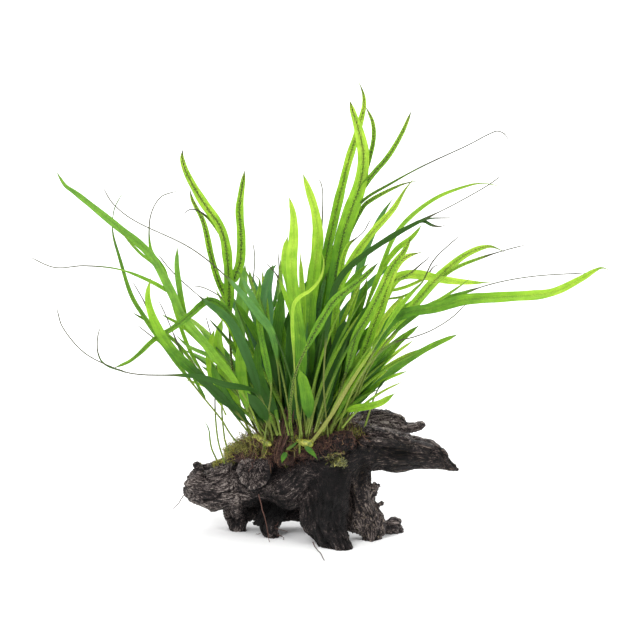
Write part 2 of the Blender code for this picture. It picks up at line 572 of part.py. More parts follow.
def make_hair_roots():
    for name, route in ROOTS.items():
        stations = [(*point, ROOT_HALF_WIDTH, ROOT_HALF_WIDTH) for point in smooth(route, steps=2)]
        limb(name, stations, "root_fibre", sides=5, flutes=0.0)


def ribbon(route, depths, steps):
    """Samples (x, v, y) about SAMPLE_STEP apart along a route, with the depths spread evenly over it."""
    line = smooth(route)
    share, length = shares_of(line)
    leans = depths[0] + SPLAY * (np.asarray(depths, float) - depths[0])
    depth_line = smooth(leans[:, None], steps=8)[:, 0]
    depth = np.interp(share, np.linspace(0.0, 1.0, len(depth_line)), depth_line)
    count = max(steps, int(round(length / SAMPLE_STEP)) + 1)
    return at_shares(np.column_stack([line, depth]), np.linspace(0.0, 1.0, count)), length


def half_widths(share, width, stalk, thread, stipe=STALK_HALF_WIDTH):
    """Half the width of a frond or lobe along its length: stalk, blade, taper, thread."""
    blade_end = 1.0 - thread
    fade = 0.5 * (blade_end + stalk)
    slim = np.clip((share - fade) / max(blade_end - fade, 1e-9), 0.0, 1.0)
    blade = ramp(stalk, stalk + 0.22, share) * np.sqrt(np.clip(1.0 - slim**2, 0.0, 1.0))
    bare = stipe + (THREAD_HALF_WIDTH - stipe) * ramp(0.3, 0.8, share)
    return np.maximum(bare, 0.5 * width * blade)


def plan_fronds():
    """The ribbons of every frond, spread in depth until none is in another's way."""
    ribbons = []
    for order, (name, frond) in enumerate(FRONDS.items()):
        samples, length = ribbon(frond["route"], frond["depths"], 6)
        share = np.linspace(0.0, 1.0, len(samples))
        stipe = frond.get("stipe", STALK_HALF_WIDTH)
        widths = half_widths(share, frond["width"], frond["stalk"], frond["thread"], stipe)
        parent = dict(name=name, order=order, samples=samples, length=length, half=widths, root=None,
                      spec=frond, lobes=[])
        ribbons.append(parent)
        for spec in frond["lobes"]:
            start = np.array(spec["route"][0], float)
            root = int(np.argmin(np.linalg.norm(samples[:, :2] - start, axis=1)))
            route = [tuple(samples[root, :2])] + list(spec["route"][1:])
            depth = samples[root, 2]
            drifts = (depth, depth + 0.3 * spec["drift"], depth + spec["drift"])
            lobe_samples, lobe_length = ribbon(route, drifts, 4)
            lobe_share = np.linspace(0.0, 1.0, len(lobe_samples))
            lobe_half = half_widths(lobe_share, spec["width"], -0.22, spec["thread"])
            lobe = dict(name=name, order=order, samples=lobe_samples, length=lobe_length, half=lobe_half,
                        root=root, spec=spec, parent=parent)
            parent["lobes"].append(lobe)
            ribbons.append(lobe)
    spread_in_depth(ribbons)
    return [ribbon for ribbon in ribbons if ribbon["root"] is None]


def spread_in_depth(ribbons, rounds=260):
    """Moves the ribbons apart in depth wherever two of them cross or run side by side in the front view."""
    number = np.concatenate([np.full(len(item["samples"]), index) for index, item in enumerate(ribbons)])
    order = np.array([item["order"] for item in ribbons])[number]
    flat = np.vstack([item["samples"][:, :2] for item in ribbons])
    half = np.concatenate([item["half"] for item in ribbons])
    start = np.concatenate([item["samples"][:, 2] for item in ribbons])
    along = np.concatenate([np.arange(len(item["samples"])) * SAMPLE_STEP for item in ribbons])
    firsts = np.concatenate([[0], np.cumsum([len(item["samples"]) for item in ribbons])])
    distance = np.linalg.norm(flat[:, None] - flat[None], axis=2)
    reach = half[:, None] + half[None] + 0.5 * SAMPLE_STEP
    near = (distance < reach) & (number[:, None] < number[None])
    same = order[:, None] == order[None]
    young = (along[:, None] < 14.0) | (along[None] < 14.0)
    a, b = np.nonzero(near & ~(same & young))
    need = 1.15 + 0.42 * (half[a] + half[b])
    pair = number[a] * len(ribbons) + number[b]
    kinds, kind = np.unique(pair, return_inverse=True)
    lean = np.bincount(kind, weights=start[a] - start[b])
    sign = np.where(lean >= 0, 1.0, -1.0)[kind]
    moved = np.zeros(len(start))
    for _ in range(rounds):
        depth = start + moved
        lack = np.clip(need - sign * (depth[a] - depth[b]), 0.0, None)
        push = np.zeros(len(start))
        count = np.zeros(len(start))
        for ends, way in ((a, 1.0), (b, -1.0)):
            np.add.at(push, ends, way * sign * lack * 0.5)
            np.add.at(count, ends, (lack > 0.0).astype(float))
        moved = moved + 0.9 * push / np.maximum(count, 1.0)
        for index, item in enumerate(ribbons):
            part = moved[firsts[index]:firsts[index + 1]]
            if item["root"] is not None:
                mother = next(i for i, other in enumerate(ribbons) if other is item["parent"])
                part[0] = moved[firsts[mother] + item["root"]]
            inner = 0.5 * part[1:-1] + 0.25 * (part[:-2] + part[2:])
            part[1:-1] = inner
    for index, item in enumerate(ribbons):
        item["samples"][:, 2] += moved[firsts[index]:firsts[index + 1]]


def frame_at(item, wanted, turns):
    """Middle line, across and face directions of a ribbon at the wanted shares of its length."""
    line = np.array([drawn(*sample) for sample in item["samples"]])
    share = np.linspace(0.0, 1.0, len(line))
    middle = np.column_stack([np.interp(wanted, share, column) for column in line.T])
    ahead = np.column_stack([np.interp(wanted + 0.03, share, column) for column in line.T])
    behind = np.column_stack([np.interp(wanted - 0.03, share, column) for column in line.T])
    across, face = [], []
    for index, value in enumerate(wanted):
        along = unit(ahead[index] - behind[index])
        flat = unit(np.cross(along, INTO_VIEW))
        back = np.cross(flat, along)
        turn = math.radians(turns[0] + (turns[1] - turns[0]) * value)
        across.append(flat * math.cos(turn) + back * math.sin(turn))
        face.append(back * math.cos(turn) - flat * math.sin(turn))
    return middle, np.array(across), np.array(face)


def foot_of(start, along, ground):
    """Where a stalk that is followed back from its start meets what it grows on, less the clearance."""
    for way in (-along, -UP):
        hit = ground.ray_cast(Vector(start * MM), Vector(way), FOOT_REACH * MM)[0]
        if hit is not None:
            reach = np.linalg.norm(np.array(hit) / MM - start) - FOOT_CLEARANCE
            return start + way * max(reach, 0.0)
    return start


def frond_mesh(item, ground):
    """One frond with its lobes: a thin sheet with a square stalk, closed all round."""
    spec = item["spec"]
    roots = sorted({lobe["root"] / (len(item["samples"]) - 1) for lobe in item["lobes"]})
    grip = 0.5 * LOBE_ROOT_LENGTH / item["length"]
    plain = np.linspace(0.0, 1.0, max(5, int(round(item["length"] / FROND_STEP)) + 1))
    wanted = [share for share in plain if all(abs(share - root) > 2.2 * grip for root in roots)]
    wanted = np.array(sorted(wanted + [root - grip for root in roots] + [root + grip for root in roots]))
    middle, across, face = frame_at(item, wanted, spec["turns"])
    half = np.interp(wanted, np.linspace(0.0, 1.0, len(item["half"])), item["half"])
    points, faces_out, thick, triangles = [], [], [], []

    def add(point, facing, half_width):
        points.append(point)
        faces_out.append(facing)
        thick.append(min(half_width, max(BLADE_HALF_THICKNESS, STALK_HALF_WIDTH * (half_width < 0.7))))
        return len(points) - 1

    def strip(left, right):
        for low_l, low_r, high_l, high_r in zip(left, right, left[1:], right[1:]):
            triangles.append((low_l, low_r, high_r))
            triangles.append((low_l, high_r, high_l))

    foot = foot_of(middle[0], unit(middle[1] - middle[0]), ground)
    if np.linalg.norm(foot - middle[0]) > FOOT_CLEARANCE:
        middle = np.vstack([foot, middle])
        across, face = np.vstack([across[:1], across]), np.vstack([face[:1], face])
        half, wanted = np.concatenate([half[:1], half]), np.concatenate([[-1.0], wanted])
    left = [add(middle[i] + across[i] * half[i], face[i], half[i]) for i in range(len(wanted))]
    right = [add(middle[i] - across[i] * half[i], face[i], half[i]) for i in range(len(wanted))]
    strip(left, right)
    for lobe in item["lobes"]:
        root = lobe["root"] / (len(item["samples"]) - 1)
        low = int(np.argmin(np.abs(wanted - (root - grip))))
        count = max(4, int(round(lobe["length"] / LOBE_STEP)) + 2)
        lobe_shares = np.linspace(0.0, 1.0, count)[1:]
        turns = (spec["turns"][1], spec["turns"][1])
        lobe_middle, lobe_across, lobe_face = frame_at(lobe, lobe_shares, turns)
        lobe_half = np.interp(lobe_shares, np.linspace(0.0, 1.0, len(lobe["half"])), lobe["half"])
        on_left = np.dot(lobe_middle[0] - middle[low], across[low]) > 0
        edge = left if on_left else right
        way = 1.0 if on_left else -1.0
        outer, inner = [edge[low]], [edge[low + 1]]
        for i in range(len(lobe_shares)):
            side = way * lobe_across[i] * lobe_half[i]
            outer.append(add(lobe_middle[i] + side, lobe_face[i], lobe_half[i]))
            inner.append(add(lobe_middle[i] - side, lobe_face[i], lobe_half[i]))
        strip(outer, inner) if on_left else strip(inner, outer)
    return thicken(np.array(points), np.array(faces_out), np.array(thick), triangles)


def thicken(points, facing, half_thickness, triangles):
    """Closes a sheet of triangles into a solid: a copy on each side and a rim along its edges."""
    count = len(points)
    offset = facing * half_thickness[:, None]
    solid = np.vstack([points + offset, points - offset])
    faces = [tuple(triangle) for triangle in triangles]
    faces += [tuple(corner + count for corner in reversed(triangle)) for triangle in triangles]
    edges = {}
    for triangle in triangles:
        for start, end in zip(triangle, triangle[1:] + triangle[:1]):
            edges.setdefault((min(start, end), max(start, end)), []).append((start, end))
    for found in edges.values():
        if len(found) == 1:
            start, end = found[0]
            faces.append((start + count, end + count, end))
            faces.append((start + count, end, start))
    return solid, faces


def surface_of(names):
    """The joined surface of the named pieces as built, to stand stalks on."""
    bpy.context.view_layer.update()
    graph = bpy.context.evaluated_depsgraph_get()
    points, faces = [], []
    for name in names:
        mesh = bpy.data.objects[name].evaluated_get(graph).to_mesh()
        first = len(points)
        points.extend(vertex.co.copy() for vertex in mesh.vertices)
        faces.extend([first + corner for corner in face.vertices] for face in mesh.polygons)
    return BVHTree.FromPolygons(points, faces)


def make_fronds():
    ground = surface_of(["wood_trunk", "wood_upper_spur", "wood_right_limb", *RHIZOMES, *MATS])
    for item in plan_fronds():
        points, faces = frond_mesh(item, ground)
        new_object(item["name"], points, faces, "fern_blade")


def main():
    for old in list(bpy.data.objects):
        bpy.data.objects.remove(old, do_unlink=True)
    for name, (colour, roughness) in FINISHES.items():
        new_finish(name, colour, roughness)
    clearances = make_driftwood()
    make_rhizomes_and_mats(clearances)
    make_hair_roots()
    make_fronds()


main()
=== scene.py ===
import json
import math

import bmesh
import bpy
import numpy as np
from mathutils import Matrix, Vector
from mathutils.bvhtree import BVHTree

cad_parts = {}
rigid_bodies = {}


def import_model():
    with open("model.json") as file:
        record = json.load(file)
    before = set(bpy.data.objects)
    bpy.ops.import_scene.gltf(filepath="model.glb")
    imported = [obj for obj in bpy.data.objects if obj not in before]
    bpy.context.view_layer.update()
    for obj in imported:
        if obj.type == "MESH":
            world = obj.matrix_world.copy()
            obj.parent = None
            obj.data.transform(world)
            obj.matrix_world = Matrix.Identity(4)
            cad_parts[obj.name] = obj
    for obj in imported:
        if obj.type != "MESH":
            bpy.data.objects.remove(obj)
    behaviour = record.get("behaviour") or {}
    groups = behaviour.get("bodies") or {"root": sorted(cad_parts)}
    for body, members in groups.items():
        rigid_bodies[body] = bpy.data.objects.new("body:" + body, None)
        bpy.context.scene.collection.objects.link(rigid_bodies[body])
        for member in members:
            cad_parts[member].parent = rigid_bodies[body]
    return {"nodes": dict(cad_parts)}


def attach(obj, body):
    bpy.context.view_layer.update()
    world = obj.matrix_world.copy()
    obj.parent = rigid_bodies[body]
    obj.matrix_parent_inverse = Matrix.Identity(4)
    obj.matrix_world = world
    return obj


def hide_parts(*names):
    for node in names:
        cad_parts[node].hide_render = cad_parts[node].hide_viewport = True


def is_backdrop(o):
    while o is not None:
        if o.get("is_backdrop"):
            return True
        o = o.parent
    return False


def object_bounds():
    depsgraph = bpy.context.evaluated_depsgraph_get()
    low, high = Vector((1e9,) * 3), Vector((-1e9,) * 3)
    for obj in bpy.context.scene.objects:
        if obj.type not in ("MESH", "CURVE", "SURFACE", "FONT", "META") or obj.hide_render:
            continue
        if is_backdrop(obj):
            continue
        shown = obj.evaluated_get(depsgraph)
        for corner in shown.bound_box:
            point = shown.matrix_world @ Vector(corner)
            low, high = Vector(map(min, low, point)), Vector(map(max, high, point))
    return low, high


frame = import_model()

cad_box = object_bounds()

# ---------------------------------------------------------------------------------------------------
# Driftwood: one waterlogged tropical root, dug up, scrubbed and dried until it is nearly black. The
# fibres run along each limb, the soft wood between them has rotted out into grooves, and one side
# branch is sawn off into a grey, porous knot. It stands on six root stubs.
# ---------------------------------------------------------------------------------------------------
MM = 0.001
VIEW_TILT = math.radians(15.0)
SOLE_X = 12.5
SOLE_Y = 2.0
DEPTH = np.array((0.0, 1.0, 0.0))
SIDEWAYS = np.array((1.0, 0.0, 0.0))
UP = np.array((0.0, 0.0, 1.0))

WOOD_VOXEL = 0.62
WOOD_SIDES = 40
GRAIN_STRETCH = 0.09
FIBRE_WIDTH = 1.25

# Each limb's stations: (x, v, y, half size across the view, half size in depth), in millimetres, where x
# runs to the right, v up a view that looks down by VIEW_TILT, and y is the depth behind the front leg.
LIMBS = {
    "wood_trunk": (
        (-73.0, 36.5, 44.0, 6.5, 9.0),
        (-70.0, 35.5, 44.0, 9.6, 13.0),
        (-60.0, 33.5, 43.0, 11.8, 16.0),
        (-47.0, 35.5, 40.0, 13.0, 18.5),
        (-34.0, 36.0, 36.0, 15.0, 20.0),
        (-20.0, 36.0, 34.0, 16.0, 19.5),
        (-6.0, 42.0, 34.0, 16.5, 20.0),
        (8.0, 49.0, 35.0, 16.5, 20.0),
        (18.0, 54.0, 35.0, 14.5, 18.0),
        (28.0, 56.5, 34.0, 12.5, 16.0),
    ),
    "wood_right_limb": (
        (20.0, 56.5, 34.5, 12.0, 16.0),
        (30.0, 54.5, 33.0, 12.0, 15.0),
        (42.0, 53.2, 31.0, 10.4, 13.0),
        (55.0, 52.0, 28.0, 8.8, 10.5),
        (65.0, 49.5, 26.0, 6.4, 7.5),
        (70.0, 46.8, 25.3, 3.6, 4.4),
        (76.5, 43.6, 25.0, 0.7, 0.9),
    ),
    "wood_upper_spur": (
        (14.0, 66.0, 48.0, 7.0, 8.0),
        (28.0, 70.0, 50.0, 6.6, 8.0),
        (40.0, 69.5, 50.0, 4.8, 7.0),
        (48.0, 67.0, 50.0, 3.2, 5.5),
        (54.0, 66.9, 49.5, 2.7, 4.0),
        (58.0, 68.0, 49.0, 1.2, 2.0),
    ),
    "wood_left_foot": (
        (-46.0, 32.0, 38.5, 10.0, 10.0),
        (-47.5, 22.0, 38.0, 6.6, 7.5),
        (-46.0, 15.5, 38.0, 5.2, 6.0),
        (-45.0, 8.2, 38.5, 4.4, 5.2),
    ),
    "wood_root_spike": (
        (-21.0, 34.0, 32.0, 9.0, 9.0),
        (-27.0, 20.0, 27.0, 7.0, 6.5),
        (-28.5, 13.0, 25.0, 5.6, 5.0),
        (-27.5, 9.0, 23.5, 4.0, 3.6),
        (-24.5, 6.3, 23.0, 1.4, 1.6),
    ),
    "wood_central_leg": (
        (4.0, 42.0, 26.0, 15.5, 14.0),
        (4.5, 30.0, 18.0, 13.0, 12.0),
        (3.5, 18.0, 11.0, 12.6, 9.0),
        (6.0, 10.0, 7.0, 10.6, 7.0),
        (9.5, 5.0, 4.5, 7.4, 5.2),
        (12.5, -4.0, 2.0, 4.8, 4.4),
    ),
    "wood_diagonal_leg": (
        (17.0, 50.0, 30.0, 11.0, 12.0),
        (20.0, 36.0, 28.0, 8.2, 10.0),
        (22.0, 26.0, 26.0, 8.8, 8.0),
        (25.0, 17.0, 23.5, 9.8, 6.6),
        (28.0, 10.0, 21.0, 7.4, 5.0),
        (27.0, 2.6, 18.0, 3.8, 3.2),
    ),
    "wood_burl_foot": (
        (28.0, 17.0, 26.0, 6.0, 5.0),
        (35.0, 12.6, 30.0, 3.2, 4.0),
        (41.0, 11.6, 33.0, 3.7, 4.2),
        (44.6, 10.3, 34.0, 1.8, 2.2),
    ),
    "wood_rear_root": (
        (2.0, 37.0, 45.0, 10.6, 9.0),
        (4.0, 28.0, 54.0, 7.0, 7.0),
        (5.0, 20.5, 58.0, 5.4, 5.5),
        (6.0, 14.0, 60.0, 4.4, 4.6),
    ),
    "wood_knot_stub": (
        (-34.0, 41.5, 34.0, 11.0, 9.0),
        (-35.0, 41.5, 24.0, 9.4, 8.8),
        (-36.0, 41.8, 14.0, 8.4, 8.3),
        (-36.2, 42.2, 9.8, 7.8, 7.8),
    ),
}
# The stations of splinters, ridges and stubs that are too small to be limbs of their own.
SNAGS = (
    ((-66.0, 38.0, 36.0, 4.0, 4.5), (-67.0, 43.0, 34.0, 2.4, 3.0), (-68.2, 46.6, 33.0, 0.8, 1.0)),
    ((-60.0, 38.0, 36.0, 5.0, 6.0), (-55.0, 42.5, 33.0, 3.4, 4.5), (-47.0, 47.6, 31.0, 1.4, 2.0)),
    ((-66.0, 36.0, 33.0, 3.0, 3.0), (-71.0, 36.2, 34.0, 1.8, 2.0), (-74.0, 35.4, 35.0, 0.7, 0.8)),
    ((-64.0, 30.0, 33.0, 3.4, 3.0), (-68.6, 28.6, 34.0, 2.2, 2.0), (-71.2, 28.2, 35.0, 0.8, 0.8)),
    ((-41.0, 36.0, 20.0, 3.0, 4.0), (-45.0, 26.0, 24.0, 2.8, 4.0), (-46.6, 18.0, 30.0, 2.2, 3.0)),
    ((-44.0, 21.0, 42.0, 6.5, 8.0), (-24.0, 20.6, 42.0, 5.5, 8.0), (-2.0, 22.0, 42.0, 6.5, 8.0)),
    ((-30.0, 46.0, 18.0, 4.5, 5.0), (-24.0, 48.5, 18.0, 3.6, 4.5), (-16.0, 49.0, 20.0, 2.6, 4.0)),
    ((-2.0, 52.0, 20.0, 4.0, 5.0), (8.0, 57.0, 19.0, 6.2, 6.0), (18.0, 59.5, 20.0, 5.0, 5.0)),
    ((-30.0, 16.0, 24.0, 3.0, 3.0), (-35.5, 13.2, 23.0, 1.4, 1.6), (-37.5, 13.8, 22.0, 0.5, 0.6)),
    ((24.0, 66.0, 28.0, 2.6, 4.0), (42.0, 61.5, 25.0, 2.0, 3.0), (62.0, 55.6, 22.0, 1.2, 2.0)),
    ((22.0, 60.5, 21.5, 2.6, 3.0), (40.0, 58.0, 20.0, 1.8, 2.4), (60.0, 53.0, 19.0, 1.0, 1.6)),
    ((24.0, 75.0, 48.0, 1.8, 3.0), (36.0, 75.4, 48.0, 1.5, 2.0), (47.0, 70.6, 47.0, 0.8, 1.4)),
    ((26.0, 26.0, 26.0, 3.2, 3.0), (29.4, 31.4, 26.0, 2.3, 2.2), (31.4, 36.4, 26.0, 2.3, 2.2)),
    ((26.0, 21.0, 26.0, 3.6, 3.0), (31.5, 23.8, 26.0, 2.4, 2.2), (35.6, 25.8, 26.0, 1.1, 1.1)),
    ((13.0, 18.0, 18.0, 5.5, 6.0), (18.0, 14.0, 18.0, 5.5, 5.0), (25.0, 10.0, 18.0, 3.0, 3.0)),
    ((23.0, 9.0, 18.0, 3.0, 2.6), (26.5, 5.8, 17.0, 1.9, 1.8), (30.4, 3.6, 16.0, 0.8, 0.9)),
    ((27.0, 12.0, 20.0, 3.0, 2.6), (31.0, 9.8, 20.0, 2.0, 2.0), (34.6, 9.6, 21.0, 0.9, 1.0)),
    ((40.0, 12.4, 32.0, 2.0, 2.0), (43.0, 13.6, 33.0, 1.5, 1.6), (44.4, 13.4, 33.5, 0.6, 0.7)),
)
# Where the wood's colour is made paler (above 0) or darker (below 0): centre, radii and amount.
SHADES = (
    ((-62.0, 35.0, 30.0), (18.0, 22.0, 12.0), 0.05),
    ((-36.0, 42.0, 10.0), (8.0, 7.0, 8.0), 0.03),
    ((-46.0, 28.0, 22.0), (7.0, 12.0, 12.0), 0.05),
    ((25.0, 24.0, 15.0), (9.0, 14.0, 16.0), 0.06),
    ((38.0, 71.0, 46.0), (26.0, 18.0, 6.0), 0.12),
    ((45.0, 56.0, 20.0), (24.0, 12.0, 4.0), -0.06),
    # The dark patches under the trunk, on the front of the central leg, in the hollows beside the knot and
    # under the trunk, and under the right limb are painted shade.
    ((-28.0, 20.0, 26.0), (15.0, 18.0, 9.0), -0.35),
    ((5.0, 20.0, 8.0), (13.0, 16.0, 20.0), -0.32),
    ((10.0, 40.0, 12.0), (9.0, 12.0, 8.0), -0.25),
    ((45.0, 47.5, 20.0), (26.0, 14.0, 7.0), -0.20),
    ((36.0, 56.0, 20.0), (14.0, 14.0, 3.0), -0.20),
    ((24.0, 40.0, 20.0), (5.0, 12.0, 7.0), -0.25),
    ((9.0, 57.0, 16.0), (15.0, 12.0, 9.0), -0.24),
    ((-26.0, 43.0, 12.0), (3.5, 10.0, 7.0), -0.40),
    ((-8.0, 42.0, 14.0), (16.0, 12.0, 12.0), -0.04),
)
# Faces worn smoother than the rest: centre (x, v, y) and radii.
WORN_FACES = (
    ((46.0, 48.0, 20.0), (30.0, 16.0, 9.0)),
    ((-8.0, 36.0, 12.0), (20.0, 14.0, 8.0)),
    ((23.0, 26.0, 15.0), (9.0, 12.0, 16.0)),
)
# Hollows and swellings: centre (x, v, y), radii (x, depth, height), and how far the wood moves there.
HOLLOWS = (
    ((-32.0, 22.0, 20.0), (10.0, 12.0, 7.5), (0.0, 10.0, 2.0)),
    ((-36.4, 43.0, 10.0), (5.6, 6.0, 5.8), (0.0, 3.4, 0.0)),
    ((-46.0, 31.0, 20.0), (4.0, 8.0, 3.0), (0.0, 3.0, 0.0)),
    ((-4.0, 26.0, 14.0), (5.0, 8.0, 7.0), (0.0, 7.0, 0.0)),
    ((10.0, 40.0, 10.0), (6.5, 8.0, 8.0), (0.0, 6.0, 0.0)),
    ((22.5, 40.0, 18.0), (4.0, 9.0, 6.5), (0.0, 8.0, 0.0)),
    ((-25.5, 43.5, 13.0), (2.8, 8.0, 7.5), (0.0, 6.0, 0.0)),
    ((40.0, 52.0, 18.0), (14.0, 6.0, 2.6), (0.0, 3.0, 0.0)),
    ((16.5, 24.0, 14.0), (2.0, 10.0, 14.0), (0.0, 5.0, 0.0)),
    ((-62.0, 44.5, 34.0), (3.0, 10.0, 2.6), (0.0, 2.0, -3.2)),
    ((-71.0, 32.0, 36.0), (3.0, 10.0, 1.6), (3.0, 0.0, 0.0)),
    ((12.0, 60.0, 16.0), (8.0, 5.0, 5.0), (0.0, -1.5, 1.0)),
)


def drawn(x, v, y):
    """The place, in millimetres, of a point drawn at x, v in the front view at depth y."""
    return np.array((x - SOLE_X, y - SOLE_Y, (v - y * math.sin(VIEW_TILT)) / math.cos(VIEW_TILT)))


def unit(vectors):
    return vectors / np.maximum(np.linalg.norm(vectors, axis=-1, keepdims=True), 1e-9)


def ramp(start, end, value):
    """0 before start, 1 after end, and smooth between them."""
    share = np.clip((value - start) / max(end - start, 1e-9), 0.0, 1.0)
    return share * share * (3.0 - 2.0 * share)


def smooth(points, steps=8):
    """Points close together on a smooth curve through the given ones (Catmull-Rom)."""
    points = np.asarray(points, float).reshape(len(points), -1)
    ends = np.vstack([2 * points[0] - points[1], points, 2 * points[-1] - points[-2]])
    share = np.linspace(0.0, 1.0, steps, endpoint=False)[:, None]
    spans = []
    for before, start, end, after in zip(ends, ends[1:], ends[2:], ends[3:]):
        slope = (end - before) * share
        bend = (2 * before - 5 * start + 4 * end - after) * share**2
        twist = (3 * start - before - 3 * end + after) * share**3
        spans.append(start + 0.5 * (slope + bend + twist))
    return np.vstack(spans + [points[-1:]])


# Large odd numbers that scramble a cell's place and its seed into a value that looks random.
SCRAMBLE = (374761393, 668265263, 2147483647)
SCRAMBLE_SEED = 974634777
SCRAMBLE_AGAIN = 1274126177


def lattice_value(cells, seed):
    """A repeatable value from 0 to 1 for each whole-numbered cell."""
    cells = cells.astype(np.int64)
    mixed = sum(cells[..., axis] * SCRAMBLE[axis] for axis in range(3)) + seed * SCRAMBLE_SEED
    mixed = (mixed ^ (mixed >> 13)) * SCRAMBLE_AGAIN
    mixed = mixed ^ (mixed >> 16)
    return (mixed & 0xFFFFFF) / float(0xFFFFFF)


def noise(points, seed=0):
    """Smooth value noise, from 0 to 1, at points whose lattice is 1 apart."""
    cell = np.floor(points)
    share = points - cell
    share = share * share * (3.0 - 2.0 * share)
    total = 0.0
    for corner in np.ndindex(2, 2, 2):
        corner = np.array(corner)
        weight = np.prod(np.where(corner == 1, share, 1.0 - share), axis=-1)
        total = total + weight * lattice_value(cell + corner, seed)
    return total


def ridges(points, seed=0):
    """Noise folded at its middle, from 0 in the valleys to 1 on sharp crests."""
    return 1.0 - np.abs(2.0 * noise(points, seed) - 1.0)


def limb_frames(stations, steps):
    """Centres, half sizes and side, deep and along directions of rings close together on a limb."""
    line = smooth(stations, steps)
    centres = np.array([drawn(*row[:3]) for row in line])
    along = unit(np.gradient(centres, axis=0))
    side = np.cross(along, DEPTH)
    steep = np.abs(along[:, 1]) > 0.85
    side[steep] = SIDEWAYS
    side = unit(side)
    deep = unit(np.cross(side, along))
    return centres, np.maximum(line[:, 3:5], 0.25), side, deep, along


def limb_shell(stations, seed):
    """One closed limb with a few deep flutes along its fibres."""
    centres, half, side, deep, _ = limb_frames(stations, 6)
    angle = 2 * math.pi * np.arange(WOOD_SIDES) / WOOD_SIDES
    wave = 1.0 + 0.07 * np.sin(3 * angle + seed) + 0.05 * np.sin(5 * angle + 2.1 * seed)
    across = half[:, 0, None] * wave * np.cos(angle)
    depth = half[:, 1, None] * wave * np.sin(angle)
    points = centres[:, None] + side[:, None] * across[..., None] + deep[:, None] * depth[..., None]
    points = points.reshape(-1, 3)
    rings = len(centres)
    low = (np.arange(rings - 1)[:, None] * WOOD_SIDES + np.arange(WOOD_SIDES)).ravel()
    high = (np.arange(rings - 1)[:, None] * WOOD_SIDES + (np.arange(WOOD_SIDES) + 1) % WOOD_SIDES).ravel()
    faces = np.column_stack([low, high, high + WOOD_SIDES, low + WOOD_SIDES]).tolist()
    faces.append(list(range(WOOD_SIDES))[::-1])
    faces.append(list(range(len(points) - WOOD_SIDES, len(points))))
    return points, faces


def joined(shells):
    """Several lists of points and faces as one."""
    points, faces, first = [], [], 0
    for shell_points, shell_faces in shells:
        points.append(shell_points)
        faces.extend([[first + corner for corner in face] for face in shell_faces])
        first += len(shell_points)
    return np.vstack(points), faces


def grown_together(name, points, faces, voxel):
    """The shells melted into one skin of small, even faces. Returns its points, in millimetres, and faces."""
    mesh = bpy.data.meshes.new(name)
    mesh.from_pydata((points * MM).tolist(), [], faces)
    shape = bmesh.new()
    shape.from_mesh(mesh)
    bmesh.ops.recalc_face_normals(shape, faces=shape.faces)
    shape.to_mesh(mesh)
    shape.free()
    block = bpy.data.objects.new(name, mesh)
    bpy.context.scene.collection.objects.link(block)
    remesh = block.modifiers.new("grown_together", "REMESH")
    remesh.mode = "VOXEL"
    remesh.voxel_size = voxel * MM
    skin = block.evaluated_get(bpy.context.evaluated_depsgraph_get()).to_mesh()
    count = len(skin.vertices)
    melted = np.empty(count * 3, np.float32)
    skin.vertices.foreach_get("co", melted)
    corners = np.empty(len(skin.loops), np.int32)
    skin.loops.foreach_get("vertex_index", corners)
    bpy.data.objects.remove(block, do_unlink=True)
    return melted.reshape(-1, 3).astype(float) / MM, corners.reshape(-1, 4)


def point_normals(points, quads):
    crossed = np.cross(points[quads[:, 2]] - points[quads[:, 0]], points[quads[:, 3]] - points[quads[:, 1]])
    normals = np.zeros_like(points)
    for corner in range(4):
        np.add.at(normals, quads[:, corner], crossed)
    return unit(normals)


def grain_of(points):
    """Which limb each point belongs to, its place in the wood's grain, and its share in each limb."""
    names = list(LIMBS)
    shares = np.empty((len(names), len(points)))
    grains = np.empty((len(names), len(points), 3))
    for order, name in enumerate(names):
        centres, half, side, deep, along = limb_frames(LIMBS[name], 10)
        run = np.concatenate([[0.0], np.cumsum(np.linalg.norm(np.diff(centres, axis=0), axis=1))])
        nearest = np.empty(len(points), int)
        for start in range(0, len(points), 20000):
            block = points[start:start + 20000]
            nearest[start:start + 20000] = np.argmin(
                ((block[:, None] - centres[None]) ** 2).sum(axis=2), axis=1)
        offset = points - centres[nearest]
        ahead = (offset * along[nearest]).sum(axis=1)
        across = (offset * side[nearest]).sum(axis=1)
        depth = (offset * deep[nearest]).sum(axis=1)
        out = np.sqrt((across / half[nearest, 0]) ** 2 + (depth / half[nearest, 1]) ** 2)
        beyond = np.abs(ahead) / 4.0
        shares[order] = np.exp(-4.0 * np.clip(out - 0.9, 0.0, 6.0) - 1.5 * beyond)
        grains[order] = np.column_stack([(run[nearest] + ahead) * GRAIN_STRETCH, across, depth])
    shares = shares + 1e-9
    shares = shares / shares.sum(axis=0)
    return names, shares, (shares[..., None] * grains).sum(axis=0)


def place_in_ball(points, centre, radii):
    """How near each point is to the middle of an oval ball: 1 in the middle, fading to 0."""
    offset = (points - drawn(*centre)) / np.array(radii)
    return np.exp(-(offset**2).sum(axis=1))


